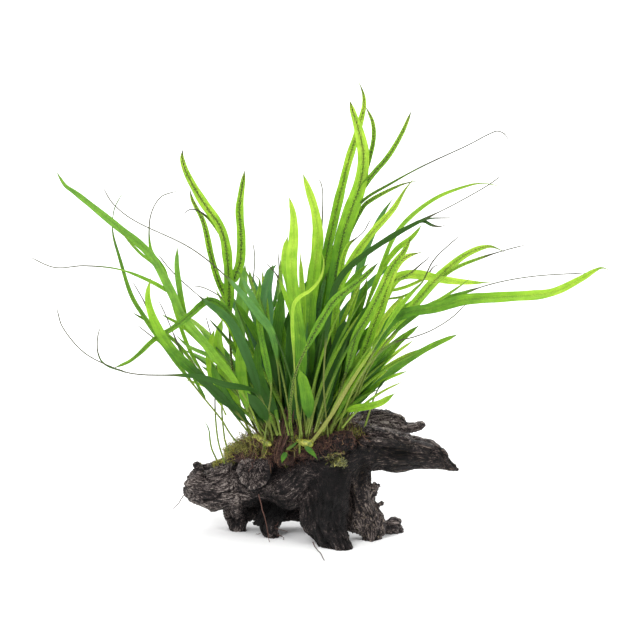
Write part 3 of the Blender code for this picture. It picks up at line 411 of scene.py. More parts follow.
def weathered(points, quads):
    """The skin with its hollows, rotted grooves, fibres, cracks and pores. Returns points and marks."""
    for centre, radii, move in HOLLOWS:
        points = points + np.array(move) * place_in_ball(points, centre, radii)[:, None]
    normals = point_normals(points, quads)
    names, shares, grain = grain_of(points)
    drift = np.stack([noise(points / 6.0, seed) for seed in (20, 21, 22)], axis=1) - 0.5
    grain = grain + np.array((1.2, 1.5, 1.5)) * drift
    knot = shares[names.index("wood_knot_stub")]
    face = np.clip(place_in_ball(points, (-36.1, 42.2, 9.5), (7.5, 4.0, 7.5)) * 1.6, 0.0, 1.0)
    from_knot = (points - drawn(-36.4, 43.0, 10.0)) / np.array((8.0, 40.0, 8.4))
    around = np.linalg.norm(from_knot, axis=1)
    in_front = 1.0 - ramp(16.0, 26.0, points[:, 1] + SOLE_Y)
    rim = np.exp(-((around - 0.95) / 0.16) ** 2) * in_front
    moat = np.exp(-((around - 1.28) / 0.13) ** 2) * in_front
    hub = place_in_ball(points, (9.0, 56.0, 19.0), (15.0, 12.0, 9.0))
    worn = np.clip(sum(place_in_ball(points, centre, radii) for centre, radii in WORN_FACES) * 1.5, 0.0, 1.0)
    fibrous = (1.0 - 0.85 * np.maximum(face, 0.4 * knot)) * (1.0 - 0.5 * hub) * (1.0 - 0.6 * worn)
    lump = noise(points / 10.0, 1) - 0.5
    knobs = noise(points / 4.0, 2) - 0.5
    groove = ridges(grain / np.array((1.0, FIBRE_WIDTH * 2.6, FIBRE_WIDTH * 2.6)), 3)
    fibre = ridges(grain / np.array((0.8, FIBRE_WIDTH, FIBRE_WIDTH)), 4)
    thread = ridges(grain / np.array((1.1, FIBRE_WIDTH * 0.55, FIBRE_WIDTH * 0.55)), 8)
    crack = ridges(grain / np.array((1.6, FIBRE_WIDTH * 3.6, FIBRE_WIDTH * 3.6)) + 7.0, 5)
    split = ramp(0.94, 1.0, crack)
    pores = noise(points / 0.9, 6) - 0.5
    rough = noise(points / 1.9, 7) - 0.5
    out = (2.4 * lump + 1.5 * knobs * (1.0 - 0.7 * worn)) * (1.0 - 0.7 * face) + 1.2 * rim - 2.8 * moat
    out = out + fibrous * (1.3 * (groove - 0.6) + 1.0 * (fibre - 0.6) + 0.5 * (thread - 0.6) - 1.1 * split)
    pitted = (0.5 - 0.3 * worn + 1.3 * face + 0.8 * hub) * pores
    out = out + pitted + (0.5 - 0.3 * worn + 1.5 * hub + 0.5 * face) * rough
    points = points + normals * out[:, None]
    points[:, 2] = np.maximum(points[:, 2], 0.0)
    # Paler and darker patches from SHADES, among them the painted shade under the trunk, in the hollows and
    # under the right limb.
    light = sum(amount * place_in_ball(points, centre, radii) for centre, radii, amount in SHADES)
    # Both light and crest paint the groove round the knot darker, as shade. crest is painted paler on the
    # raised fibres, as highlight, and darker in the grooves and cracks, as shade.
    marks = dict(
        grain=grain, knot=face, hub=hub, light=light - 0.5 * moat + 0.06 * rim,
        crest=np.clip(0.5 + 0.7 * (groove - 0.5) + 0.8 * (fibre - 0.5) + 0.7 * (thread - 0.5)
                      + 1.2 * face * pores - 0.7 * split - 0.8 * moat + 0.2 * rim, 0.0, 1.0),
        tip=ramp(55.0, 74.0, points[:, 0] + SOLE_X) * (points[:, 2] < 60.0),
        streak=shares[names.index("wood_diagonal_leg")] + 0.35 * shares[names.index("wood_right_limb")])
    return points, names, shares, marks


def linear(code):
    """The linear colour of an sRGB hex code such as #3A3336."""
    parts = [int(code[start:start + 2], 16) / 255.0 for start in (1, 3, 5)]
    return [part / 12.92 if part <= 0.04045 else ((part + 0.055) / 1.055) ** 2.4 for part in parts] + [1.0]


def add_node(material, kind, settings=None, inputs=None, stops=None):
    """Adds a node. Settings are its properties; inputs are socket values or the sockets that feed them."""
    tree = material.node_tree
    node = tree.nodes.new("ShaderNode" + kind)
    for name, value in (settings or {}).items():
        setattr(node, name, value)
    for name, value in (inputs or {}).items():
        if isinstance(value, bpy.types.NodeSocket):
            tree.links.new(value, node.inputs[name])
        else:
            node.inputs[name].default_value = value
    for order, (place, code) in enumerate(stops or []):
        ramp_stops = node.color_ramp.elements
        stop = ramp_stops[order] if order < len(ramp_stops) else ramp_stops.new(place)
        stop.position = place
        stop.color = linear(code) if isinstance(code, str) else (code, code, code, 1.0)
    return node


def new_material(name):
    """An empty material and its output and Principled shader."""
    material = bpy.data.materials.new(name)
    material.use_nodes = True
    shader = material.node_tree.nodes["Principled BSDF"]
    return material, shader, material.node_tree.nodes["Material Output"]


def set_marks(mesh, marks):
    """Stores values of each point, such as its place in the grain, for the materials to read."""
    for name, values in marks.items():
        values = np.asarray(values, np.float32)
        kind = "FLOAT_VECTOR" if values.ndim == 2 else "FLOAT"
        attribute = mesh.attributes.new(name, kind, "POINT")
        attribute.data.foreach_set("vector" if values.ndim == 2 else "value", values.ravel())


def new_piece(name, points, faces, marks, material, nodes):
    """A finished piece of the object, from points in millimetres, standing for the named CAD nodes."""
    mesh = bpy.data.meshes.new(name)
    mesh.from_pydata((np.asarray(points) * MM).tolist(), [], np.asarray(faces).tolist()
                     if isinstance(faces, np.ndarray) else faces)
    set_marks(mesh, marks)
    mesh.shade_smooth()
    mesh.materials.append(material)
    piece = bpy.data.objects.new(name, mesh)
    bpy.context.scene.collection.objects.link(piece)
    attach(piece, "root")
    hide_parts(*nodes)
    return piece


def waterlogged_wood():
    """Waterlogged hardwood: the fibres' crests are painted grey-brown as highlight, and the grooves near
    black as shade.
    """
    material, shader, _ = new_material("waterlogged_driftwood")
    grain = add_node(material, "Attribute", {"attribute_name": "grain"})
    marks = {
        name: add_node(material, "Attribute", {"attribute_name": name}).outputs["Fac"]
        for name in ("knot", "hub", "crest", "tip", "streak", "light")}
    # Single fibre bundles are 0.6 mm wide and some 8 mm long; the grain runs along the first axis.
    stretched = add_node(material, "Mapping", inputs={
        "Vector": grain.outputs["Vector"], "Scale": (1.4, 1.0 / 0.6, 1.0 / 0.6)})
    fibres = add_node(material, "TexNoise", inputs={
        "Vector": stretched.outputs["Vector"], "Scale": 1.0, "Detail": 5.0, "Roughness": 0.65})
    position = add_node(material, "TexCoord")
    patches = add_node(material, "TexNoise", inputs={
        "Vector": position.outputs["Object"], "Scale": 110.0, "Detail": 4.0, "Roughness": 0.6})
    # Pits and grains of the wood are 0.7 mm apart.
    grit = add_node(material, "TexNoise", inputs={
        "Vector": position.outputs["Object"], "Scale": 1400.0, "Detail": 3.0, "Roughness": 0.7})
    # The sum starts from the SHADES patches, partly painted shade, and crest adds the painted highlight and
    # shade of the fibres' relief.
    total = marks["light"]
    for source, low, high, weight in (
            (fibres.outputs["Fac"], 0.36, 0.64, 0.44), (grit.outputs["Fac"], 0.36, 0.64, 0.20),
            (patches.outputs["Fac"], 0.36, 0.64, 0.14), (marks["crest"], 0.0, 1.0, 0.34)):
        part = add_node(material, "MapRange", inputs={
            "Value": source, "From Min": low, "From Max": high, "To Min": 0.0, "To Max": weight})
        total = add_node(material, "Math", {"operation": "ADD"}, {
            0: total, 1: part.outputs["Result"]}).outputs[0]
    shade = add_node(material, "ValToRGB", inputs={"Fac": total}, stops=[
        (0.34, "#050404"), (0.54, "#120E0F"), (0.70, "#2E2625"), (0.84, "#6B615D"), (1.0, "#A49A93")])
    colour = shade.outputs["Color"]
    for mark, code, amount in (("hub", "#5A2E36", 0.45), ("tip", "#6A3E2E", 0.6), ("knot", "#77747A", 0.12)):
        share = add_node(material, "Math", {"operation": "MULTIPLY"}, {0: marks[mark], 1: amount})
        tint = add_node(material, "Mix", {"data_type": "RGBA", "blend_type": "SOFT_LIGHT"}, {
            "Factor": share.outputs[0], "A": colour, "B": linear(code)})
        colour = tint.outputs["Result"]
    streaks = add_node(material, "ValToRGB", inputs={"Fac": fibres.outputs["Fac"]}, stops=[
        (0.56, 0.0), (0.66, 1.0)])
    streak_share = add_node(material, "Math", {"operation": "MULTIPLY"}, {
        0: streaks.outputs["Color"], 1: marks["streak"]})
    streaked = add_node(material, "Mix", {"data_type": "RGBA"}, {
        "Factor": streak_share.outputs[0], "A": colour, "B": linear("#7C6E5C")})
    material.node_tree.links.new(streaked.outputs["Result"], shader.inputs["Base Color"])
    relief = add_node(material, "Math", {"operation": "MULTIPLY_ADD"}, {
        0: grit.outputs["Fac"], 1: 0.9, 2: fibres.outputs["Fac"]})
    bump = add_node(material, "Bump", inputs={
        "Height": relief.outputs[0], "Strength": 1.0, "Distance": 0.0012})
    material.node_tree.links.new(bump.outputs["Normal"], shader.inputs["Normal"])
    gloss = add_node(material, "MapRange", inputs={
        "Value": patches.outputs["Fac"], "From Min": 0.3, "From Max": 0.7, "To Min": 0.38, "To Max": 0.7})
    material.node_tree.links.new(gloss.outputs["Result"], shader.inputs["Roughness"])
    shader.inputs["Specular IOR Level"].default_value = 0.22
    return material


shells = [limb_shell(stations, order) for order, stations in enumerate(LIMBS.values())]
shells += [limb_shell(stations, order) for order, stations in enumerate(SNAGS)]
wood_points, wood_quads = grown_together("driftwood_block", *joined(shells), WOOD_VOXEL)
wood_points, limb_names, limb_shares, wood_marks = weathered(wood_points, wood_quads)
wood_normals = point_normals(wood_points, wood_quads)
wood_material = waterlogged_wood()
owner = np.argmax(limb_shares[:, wood_quads].mean(axis=2), axis=0)
for order, limb_name in enumerate(limb_names):
    own = wood_quads[owner == order]
    used, renumbered = np.unique(own, return_inverse=True)
    piece = new_piece(
        "driftwood_" + limb_name[5:], wood_points[used], renumbered.reshape(-1, 4),
        {name: values[used] for name, values in wood_marks.items()}, wood_material, [limb_name])
    piece.data.normals_split_custom_set_from_vertices(wood_normals[used].tolist())

# ---------------------------------------------------------------------------------------------------
# Roots and moss: the fern grips the wood with felts of fine brown roots round its creeping stems, and
# yellow-green moss has crept over them. The moss in front of the right leg is a tuft with pale, starry
# tips. Everything here has grown on and nothing is tied or glued.
# ---------------------------------------------------------------------------------------------------
# Lumps under the felts: centre (x, v, y) and half sizes (x, depth, height).
LUMPS = {
    "root_mat_left": ((-37.5, 50.0, 31.0), (14.5, 12.0, 8.6)),
    "root_mat_centre": ((-9.0, 52.5, 29.0), (10.5, 11.0, 8.2)),
    "moss_right": ((13.0, 65.5, 36.0), (11.0, 11.0, 2.6)),
    "moss_tuft": ((9.5, 47.5, 17.0), (5.0, 2.6, 3.6)),
}
# Where fine roots start: the CAD node, centre (x, v, y), radii (x, depth, height) and count.
ROOT_PATCHES = (
    ("root_mat_left", (-37.0, 57.0, 26.0), (12.0, 9.0, 5.0), 900),
    ("root_mat_left", (-25.0, 54.0, 20.0), (4.0, 5.0, 4.0), 600),
    ("root_mat_centre", (-11.0, 57.0, 23.0), (9.0, 8.0, 5.0), 800),
    ("root_mat_centre", (-19.0, 54.0, 20.0), (4.0, 5.0, 4.0), 600),
    ("root_mat_centre", (4.0, 60.0, 20.0), (9.0, 6.0, 4.0), 700),
    ("moss_right", (14.0, 63.0, 22.0), (7.0, 6.0, 3.0), 600),
)
# Where wiry roots and dead stalks stand up between the leaves: node, centre, radii, count and length.
TANGLES = (
    ("root_mat_left", (-34.0, 60.0, 28.0), (10.0, 8.0, 3.0), 420, 8.0),
    ("root_mat_left", (-28.0, 60.0, 26.0), (5.0, 6.0, 3.0), 260, 13.0),
    ("root_mat_left", (-23.5, 57.0, 24.0), (2.6, 5.0, 3.0), 280, 7.0),
    ("root_mat_centre", (-12.0, 62.0, 28.0), (11.0, 8.0, 3.0), 620, 13.0),
    ("moss_right", (8.0, 68.0, 32.0), (9.0, 6.0, 2.0), 300, 8.0),
)
# Where moss grows: the CAD node, centre, radii, count of shoots, their length and how pale their tips are.
MOSS_PATCHES = (
    ("root_mat_left", (-57.0, 49.5, 37.0), (3.4, 5.0, 1.6), 500, 2.4, 0.1),
    ("root_mat_left", (-50.0, 53.0, 31.0), (4.5, 7.0, 3.0), 620, 3.6, 0.15),
    ("root_mat_left", (-43.0, 57.5, 28.0), (5.5, 7.0, 3.0), 520, 4.4, 0.15),
    ("root_mat_left", (-33.0, 55.5, 21.0), (5.5, 4.0, 2.4), 500, 1.6, 0.1),
    ("root_mat_left", (-44.0, 59.0, 30.0), (9.0, 8.0, 3.0), 190, 9.0, 0.25),
    ("root_mat_left", (-31.0, 60.0, 26.0), (6.0, 7.0, 3.0), 150, 12.0, 0.25),
    ("moss_right", (-12.0, 62.0, 26.0), (9.0, 7.0, 3.0), 200, 11.0, 0.2),
    ("moss_right", (8.0, 66.0, 30.0), (9.0, 6.0, 2.0), 130, 7.0, 0.2),
    ("moss_right", (0.0, 65.0, 27.0), (5.0, 4.0, 2.0), 260, 1.8, 0.1),
    ("moss_right", (10.0, 67.5, 29.0), (5.0, 5.0, 1.6), 420, 1.8, 0.15),
    ("moss_right", (20.0, 64.5, 28.0), (4.0, 4.0, 2.0), 420, 1.8, 0.15),
    ("moss_tuft", (8.0, 49.5, 11.5), (6.5, 2.5, 2.6), 90, 2.4, 0.3),
    ("moss_tuft", (12.0, 46.5, 11.5), (3.6, 2.5, 2.4), 60, 2.2, 0.65),
)
# The older roots that rise in a bundle: how many, and their middle line (x, v, y).
ROOTS_IN_BUNDLE = 46
ROOT_BUNDLE = ((-23.0, 49.0, 17.0), (-20.5, 57.0, 20.0), (-17.0, 66.0, 22.0), (-14.0, 77.0, 25.0))
# The names of the felts and mosses, by the CAD node that each grows on.
FELTS = {
    "root_mat_left": "root_felt_left",
    "root_mat_centre": "root_felt_centre",
    "moss_right": "root_felt_right",
}
MOSSES = {"root_mat_left": "moss_mat_left", "moss_right": "moss_mat_right", "moss_tuft": "moss_mat_front"}
grown = np.random.default_rng(11)


def lump(centre, half_sizes, seed):
    """A rounded clod, deeper at its top than at its underside, with a knobbly skin."""
    rings, sides = 26, 52
    height = math.pi * (np.arange(rings) + 0.5) / rings
    angle = 2 * math.pi * np.arange(sides) / sides
    ball = np.stack(np.broadcast_arrays(
        np.sin(height)[:, None] * np.cos(angle), np.sin(height)[:, None] * np.sin(angle),
        np.cos(height)[:, None]), axis=-1).reshape(-1, 3)
    size = np.array(half_sizes) * np.where(ball[:, 2:] < 0.0, 0.6, 1.0)
    points = drawn(*centre) + ball * size
    knobs = 2.6 * (noise(points / 3.2, seed) - 0.6) + 0.8 * (noise(points / 1.1, seed) - 0.5)
    points = points + ball * knobs[:, None]
    low = (np.arange(rings - 1)[:, None] * sides + np.arange(sides)).ravel()
    high = (np.arange(rings - 1)[:, None] * sides + (np.arange(sides) + 1) % sides).ravel()
    faces = np.column_stack([low, low + sides, high + sides, high]).tolist()
    faces.append(list(range(sides)))
    faces.append(list(range(len(points) - sides, len(points)))[::-1])
    return points, faces


def strands(lines, radii, sides=3):
    """Closed thin tubes along many lines at once: lines is (count, steps, 3) and radii is (count, steps)."""
    count, steps = lines.shape[:2]
    along = unit(np.gradient(lines, axis=1))
    side = unit(np.cross(along, np.array((0.31, 0.17, 0.93))))
    deep = np.cross(along, side)
    angle = 2 * math.pi * np.arange(sides) / sides
    ring = side[:, :, None] * np.cos(angle)[:, None] + deep[:, :, None] * np.sin(angle)[:, None]
    points = (lines[:, :, None] + ring * radii[:, :, None, None]).reshape(-1, 3)
    first = np.arange(count)[:, None, None] * steps * sides
    low = first + np.arange(steps - 1)[:, None] * sides + np.arange(sides)
    high = first + np.arange(steps - 1)[:, None] * sides + (np.arange(sides) + 1) % sides
    quads = np.stack([low, high, high + sides, low + sides], axis=-1).reshape(-1, 4)
    start = first[:, 0] + np.arange(sides)[::-1]
    end = first[:, 0] + (steps - 1) * sides + np.arange(sides)
    return points, quads.tolist() + start.tolist() + end.tolist()


def on_ground(places, surface, lift):
    """The nearest places on a surface, raised from it, and the surface's directions there."""
    found = [surface.find_nearest(Vector(place))[:2] for place in places]
    normals = np.array([tuple(normal) for _, normal in found])
    return np.array([tuple(place) for place, _ in found]) + normals * lift[:, None], normals


def creeping(centre, radii, count, surface):
    """Root lines that start in a patch, creep over the surface, and sag down it as they go."""
    starts = drawn(*centre) + grown.normal(0.0, 0.55, (count, 3)) * np.array(radii)
    heading = unit(grown.normal(0.0, 1.0, (count, 3)) + np.array((0.0, -0.2, -0.5)))
    lift = grown.uniform(0.05, 1.3, count)
    places, _ = on_ground(starts, surface, lift)
    line = [places]
    for _ in range(7):
        heading = unit(heading + grown.normal(0.0, 0.45, (count, 3)) + np.array((0.0, 0.0, -0.08)))
        places, _ = on_ground(places + heading * 0.95, surface, lift)
        line.append(places)
    return np.stack(line, axis=1)


def shoots(centre, radii, count, length, surface, curl=0.5, upright=0.2):
    """Curved lines that stand away from the surface."""
    starts = drawn(*centre) + grown.normal(0.0, 0.55, (count, 3)) * np.array(radii)
    places, normals = on_ground(starts, surface, np.zeros(count))
    heading = unit(normals + grown.normal(0.0, 0.7, (count, 3)) + UP * upright)
    reach = length * grown.uniform(0.5, 1.3, count)[:, None]
    line = [places - heading * 0.2 * reach, places + heading * 0.2 * reach]
    for _ in range(3):
        heading = unit(heading + grown.normal(0.0, curl, (count, 3)))
        line.append(line[-1] + heading * 0.27 * reach)
    return np.stack(line, axis=1)


def starry(stems):
    """Little pointed leaves round the upper part of each moss shoot."""
    leaves = []
    for place in (2, 3, 3, 4, 4, 4):
        base = stems[:, place]
        away = unit(unit(stems[:, 4] - stems[:, 2]) * 0.6 + grown.normal(0.0, 0.8, base.shape))
        reach = grown.uniform(0.7, 1.2, (len(base), 1))
        leaves.append(np.stack([base, base + away * reach * 0.5, base + away * reach], axis=1))
    return np.concatenate(leaves)


def fibre_material(name, roughness, stops, pale):
    """Fine plant fibres: each strand has a tone of its own, and its tip fades to a paler colour."""
    material, shader, _ = new_material(name)
    tone = add_node(material, "Attribute", {"attribute_name": "tone"})
    tip = add_node(material, "Attribute", {"attribute_name": "tip"})
    position = add_node(material, "TexCoord")
    # Bark and dirt break the colour up over about 1 mm.
    patches = add_node(material, "TexNoise", inputs={
        "Vector": position.outputs["Object"], "Scale": 900.0, "Detail": 3.0})
    mixed = add_node(material, "Math", {"operation": "MULTIPLY_ADD"}, {
        0: patches.outputs["Fac"], 1: 0.35, 2: tone.outputs["Fac"]})
    shade = add_node(material, "ValToRGB", inputs={"Fac": mixed.outputs[0]}, stops=stops)
    tipped = add_node(material, "Mix", {"data_type": "RGBA"}, {
        "Factor": tip.outputs["Fac"], "A": shade.outputs["Color"], "B": linear(pale)})
    material.node_tree.links.new(tipped.outputs["Result"], shader.inputs["Base Color"])
    shader.inputs["Roughness"].default_value = roughness
    bump = add_node(material, "Bump", inputs={
        "Height": patches.outputs["Fac"], "Strength": 0.5, "Distance": 0.0002})
    material.node_tree.links.new(bump.outputs["Normal"], shader.inputs["Normal"])
    return material


def fibre_piece(name, parts, material, nodes):
    """One piece of several lists of points, faces, tones and tips."""
    points, faces = joined([part[:2] for part in parts])
    tones, tips = (np.concatenate([part[place] for part in parts]) for place in (2, 3))
    marks = dict(tone=tones, tip=tips)
    return new_piece(name, points, faces, marks, material, nodes)


def toned(lines, radii, tones, pale=0.0, sides=3):
    """Strands with one tone each, and tips that fade in over their last part."""
    points, faces = strands(lines, radii, sides)
    count, steps = lines.shape[:2]
    tips = np.broadcast_to(pale * ramp(0.45, 1.0, np.linspace(0.0, 1.0, steps))[:, None], (steps, sides))
    return points, faces, np.repeat(tones, steps * sides), np.tile(tips.ravel(), count)


lumps = {name: lump(centre, sizes, order) for order, (name, (centre, sizes)) in enumerate(LUMPS.items())}
ground_points, ground_faces = joined([(wood_points, wood_quads.tolist()), *lumps.values()])
living_ground = BVHTree.FromPolygons([Vector(point) for point in ground_points], ground_faces)
root_material = fibre_material("fine_root_felt", 0.85, [
    (0.10, "#1A100E"), (0.45, "#3E2620"), (0.80, "#5E4036"), (1.0, "#8A6B50")], "#A08A66")
moss_material = fibre_material("creeping_moss", 0.75, [
    (0.10, "#2E2E10"), (0.45, "#686A22"), (0.80, "#A59F3E"), (1.0, "#CBC466")], "#D9DFB4")

for node, name in FELTS.items():
    points, faces = lumps[node]
    parts = [(points, faces, np.full(len(points), 0.05), np.zeros(len(points)))]
    for owner_node, centre, radii, count in ROOT_PATCHES:
        if owner_node == node:
            lines = creeping(centre, radii, count, living_ground)
            thick = grown.uniform(0.09, 0.22, count)[:, None] * np.linspace(1.0, 0.5, lines.shape[1])
            parts.append(toned(lines, thick, np.clip(grown.normal(0.35, 0.32, count), 0.0, 1.0)))
    for owner_node, place, radii, count, length in TANGLES:
        if owner_node == node:
            lines = shoots(place, radii, count, length, living_ground, 0.35, 1.6)
            thick = grown.uniform(0.08, 0.2, count)[:, None] * np.linspace(1.0, 0.5, lines.shape[1])
            parts.append(toned(lines, thick, np.clip(grown.normal(0.45, 0.32, count), 0.0, 1.0)))
    if node == "root_mat_centre":
        # Older roots rise in a bundle beside the middle stem and lose themselves between the leaves.
        at = np.array([drawn(*row) for row in smooth(ROOT_BUNDLE, 4)])
        count = ROOTS_IN_BUNDLE
        spread = grown.normal(0.0, 1.0, (count, 1, 3)) * np.array((2.4, 3.0, 1.2))
        wave = np.cumsum(grown.normal(0.0, 0.22, (count, len(at), 3)), axis=1)
        lines = at[None] + spread * (0.6 + 0.8 * np.linspace(0.0, 1.0, len(at))[None, :, None]) + wave
        thick = grown.uniform(0.1, 0.24, count)[:, None] * np.ones(len(at))
        parts.append(toned(lines, thick, np.clip(grown.normal(0.5, 0.3, count), 0.0, 1.0)))
    fibre_piece(name, parts, root_material, [node])

for node, name in MOSSES.items():
    parts = []
    if node == "moss_tuft":
        points, faces = lumps[node]
        parts.append((points, faces, np.full(len(points), 0.05), np.zeros(len(points))))
    for owner_node, centre, radii, count, length, pale in MOSS_PATCHES:
        if owner_node != node:
            continue
        stems = shoots(centre, radii, count, length, living_ground)
        tones = np.clip(grown.normal(0.2 if node == "moss_tuft" else 0.45, 0.22, count), 0.0, 0.95)
        thick = grown.uniform(0.09, 0.17, count)[:, None] * np.linspace(1.0, 0.4, stems.shape[1])
        parts.append(toned(stems, thick, tones, pale))
        if pale > 0.5:
            leaves = starry(stems)
            thick = np.full((len(leaves), 1), 0.17) * np.array((0.8, 1.0, 0.15))
            parts.append(toned(leaves, thick, np.tile(tones, len(leaves) // count), pale))
    fibre_piece(name, parts, moss_material, [node])

# ---------------------------------------------------------------------------------------------------
# Creeping stems and single roots: two fleshy yellow-green stems that the fronds rise from, ringed by the
# scars of old stalks and flecked with brown scales, and a few wiry roots that hang free of the wood.
# ---------------------------------------------------------------------------------------------------
# Stations: (x, v, y, half width, half depth).
RHIZOMES = {
    "rhizome_left": (
        (-46.0, 57.5, 30.0, 1.1, 1.1),
        (-41.0, 60.0, 29.0, 1.4, 1.4),
        (-36.0, 62.2, 25.5, 1.6, 1.6),
        (-32.5, 60.6, 22.5, 1.8, 1.8),
        (-29.0, 58.4, 19.5, 1.8, 1.8),
        (-26.5, 57.4, 18.6, 1.0, 1.0),
    ),
    "rhizome_centre": (
        (-18.0, 66.0, 26.0, 1.1, 1.1),
        (-15.0, 63.5, 23.5, 1.5, 1.5),
        (-11.0, 59.8, 19.5, 1.7, 1.7),
        (-8.2, 58.6, 17.6, 2.2, 2.2),
        (-5.4, 58.2, 17.0, 2.4, 2.4),
        (-3.6, 58.0, 17.2, 1.2, 1.2),
    ),
}
HANGING_ROOTS = {
    "hair_root_brown": (
        ((-34.0, 30.5, 13.0), (-31.5, 22.0, 12.8), (-29.0, 13.0, 12.6), (-27.3, 3.4, 12.0)),
        ((-25.0, 11.5, 20.0), (-22.5, 10.6, 19.0), (-20.0, 9.8, 18.0), (-18.0, 9.0, 17.0)),
        ((-24.0, 7.4, 20.0), (-21.5, 7.2, 19.0), (-20.2, 6.0, 18.5), (-20.4, 4.2, 18.0)),
        ((-25.0, 12.5, 20.0), (-24.0, 13.2, 19.0), (-23.3, 13.8, 18.0), (-22.8, 14.6, 18.0)),
        ((-33.0, 8.4, 22.0), (-34.4, 8.0, 21.5), (-35.6, 8.0, 21.0), (-36.4, 8.2, 21.0)),
    ),
    "hair_root_left": (
        ((-73.6, 31.2, 42.0), (-75.5, 29.4, 42.0), (-79.0, 24.5, 41.0), (-82.0, 21.8, 40.0)),
    ),
    "hair_root_front": (
        ((-4.0, 4.0, 2.6), (-2.5, 1.4, -1.0), (0.0, -2.2, -7.0), (2.4, -6.0, -21.5)),
    ),
}


def stem_skin(stations, seed):
    """A rounded, knobbly stem with closed, tapering ends."""
    sides = 20
    centres, half, side, deep, _ = limb_frames(stations, 10)
    rings = len(centres)
    taper = np.sqrt(np.clip(1.0 - np.linspace(-1.0, 1.0, rings) ** 12, 0.02, 1.0))
    angle = 2 * math.pi * np.arange(sides) / sides
    ring = side[:, None] * np.cos(angle)[:, None] + deep[:, None] * np.sin(angle)[:, None]
    points = centres[:, None] + ring * (half[:, :1] * taper[:, None])[..., None]
    flat = points.reshape(-1, 3)
    bumps = 0.55 * (noise(flat / 1.3, seed) - 0.5) + 0.25 * (noise(flat / 0.5, seed) - 0.5)
    flat = flat + ring.reshape(-1, 3) * (bumps * np.repeat(taper, sides))[:, None]
    low = (np.arange(rings - 1)[:, None] * sides + np.arange(sides)).ravel()
    high = (np.arange(rings - 1)[:, None] * sides + (np.arange(sides) + 1) % sides).ravel()
    faces = np.column_stack([low, high, high + sides, low + sides]).tolist()
    faces += [list(range(sides))[::-1], list(range(len(flat) - sides, len(flat)))]
    return flat, faces


def creeping_stem():
    """Fleshy rhizome: satin yellow-green, blotched olive where it is older, with brown scales."""
    material, shader, _ = new_material("fern_creeping_stem")
    tone = add_node(material, "Attribute", {"attribute_name": "tone"})
    position = add_node(material, "TexCoord")
    # Olive blotches are about 1.5 mm across.
    blotches = add_node(material, "TexNoise", inputs={
        "Vector": position.outputs["Object"], "Scale": 650.0, "Detail": 3.0})
    skin = add_node(material, "ValToRGB", inputs={"Fac": blotches.outputs["Fac"]}, stops=[
        (0.35, "#5F6E1E"), (0.50, "#8C9432"), (0.62, "#B2B04E"), (0.75, "#CFCA84")])
    scaled = add_node(material, "Mix", {"data_type": "RGBA"}, {
        "Factor": tone.outputs["Fac"], "A": skin.outputs["Color"], "B": linear("#4A3320")})
    material.node_tree.links.new(scaled.outputs["Result"], shader.inputs["Base Color"])
    shader.inputs["Roughness"].default_value = 0.45
    bump = add_node(material, "Bump", inputs={
        "Height": blotches.outputs["Fac"], "Strength": 0.4, "Distance": 0.0003})
    material.node_tree.links.new(bump.outputs["Normal"], shader.inputs["Normal"])
    return material


SCALES_ON_STEM = 90
stem_material = creeping_stem()
for order, (name, stations) in enumerate(RHIZOMES.items()):
    points, faces = stem_skin(stations, order)
    skin = BVHTree.FromPolygons([Vector(point) for point in points], faces)
    count = SCALES_ON_STEM
    starts = points[grown.integers(0, len(points), count)]
    places, normals = on_ground(starts, skin, np.full(count, 0.02))
    away = unit(normals * 0.45 + grown.normal(0.0, 0.5, (count, 3)))
    lines = np.stack([places, places + away * 0.45, places + away * 1.0], axis=1)
    scales = toned(lines, np.full((count, 1), 0.16) * np.array((1.0, 0.8, 0.15)), np.full(count, 0.9))
    body = (points, faces, np.zeros(len(points)), np.zeros(len(points)))
    fibre_piece("stem_" + name, [body, scales], stem_material, [name])
for name, routes in HANGING_ROOTS.items():
    parts = []
    for number, route in enumerate(routes):
        line = np.array([drawn(*row) for row in smooth(route, 6)])
        wave = np.cumsum(grown.normal(0.0, 0.07, line.shape), axis=0)
        line = (line + wave * ramp(0.0, 0.3, np.linspace(0.0, 1.0, len(line)))[:, None])[None]
        line[..., 2] = np.maximum(line[..., 2], 0.3)
        width = (0.32 if number == 0 else 0.2) * np.linspace(1.0, 0.55, line.shape[1])[None]
        tone = 0.35 if name != "hair_root_brown" or number else 0.55
        parts.append(toned(line, width, np.array([tone]), sides=7))
    fibre_piece("hanging_" + name[5:], parts, root_material, [name])


# ---------------------------------------------------------------------------------------------------
# Fronds: the simple leaves of a narrow-leaved java fern, each a thin leathery blade on a wiry stalk that
# rises from the creeping stem. Older ones fork near their tips, and some end in long bare threads. Light
# comes through them. Brown-black spore dots sit in two rows along the midrib.
# ---------------------------------------------------------------------------------------------------
INTO_VIEW = np.array((0.0, math.cos(VIEW_TILT), -math.sin(VIEW_TILT)))
STALK_HALF_WIDTH = 0.5
THREAD_HALF_WIDTH = 0.3
SAMPLE_STEP = 5.0
SPLAY = 1.4
FOOT_CLEARANCE = 0.2
FOOT_REACH = 16.0
BLADE_STEP = 1.4
COLUMNS = np.array((-1.0, -0.82, -0.5, -0.16, 0.0, 0.16, 0.5, 0.82, 1.0))

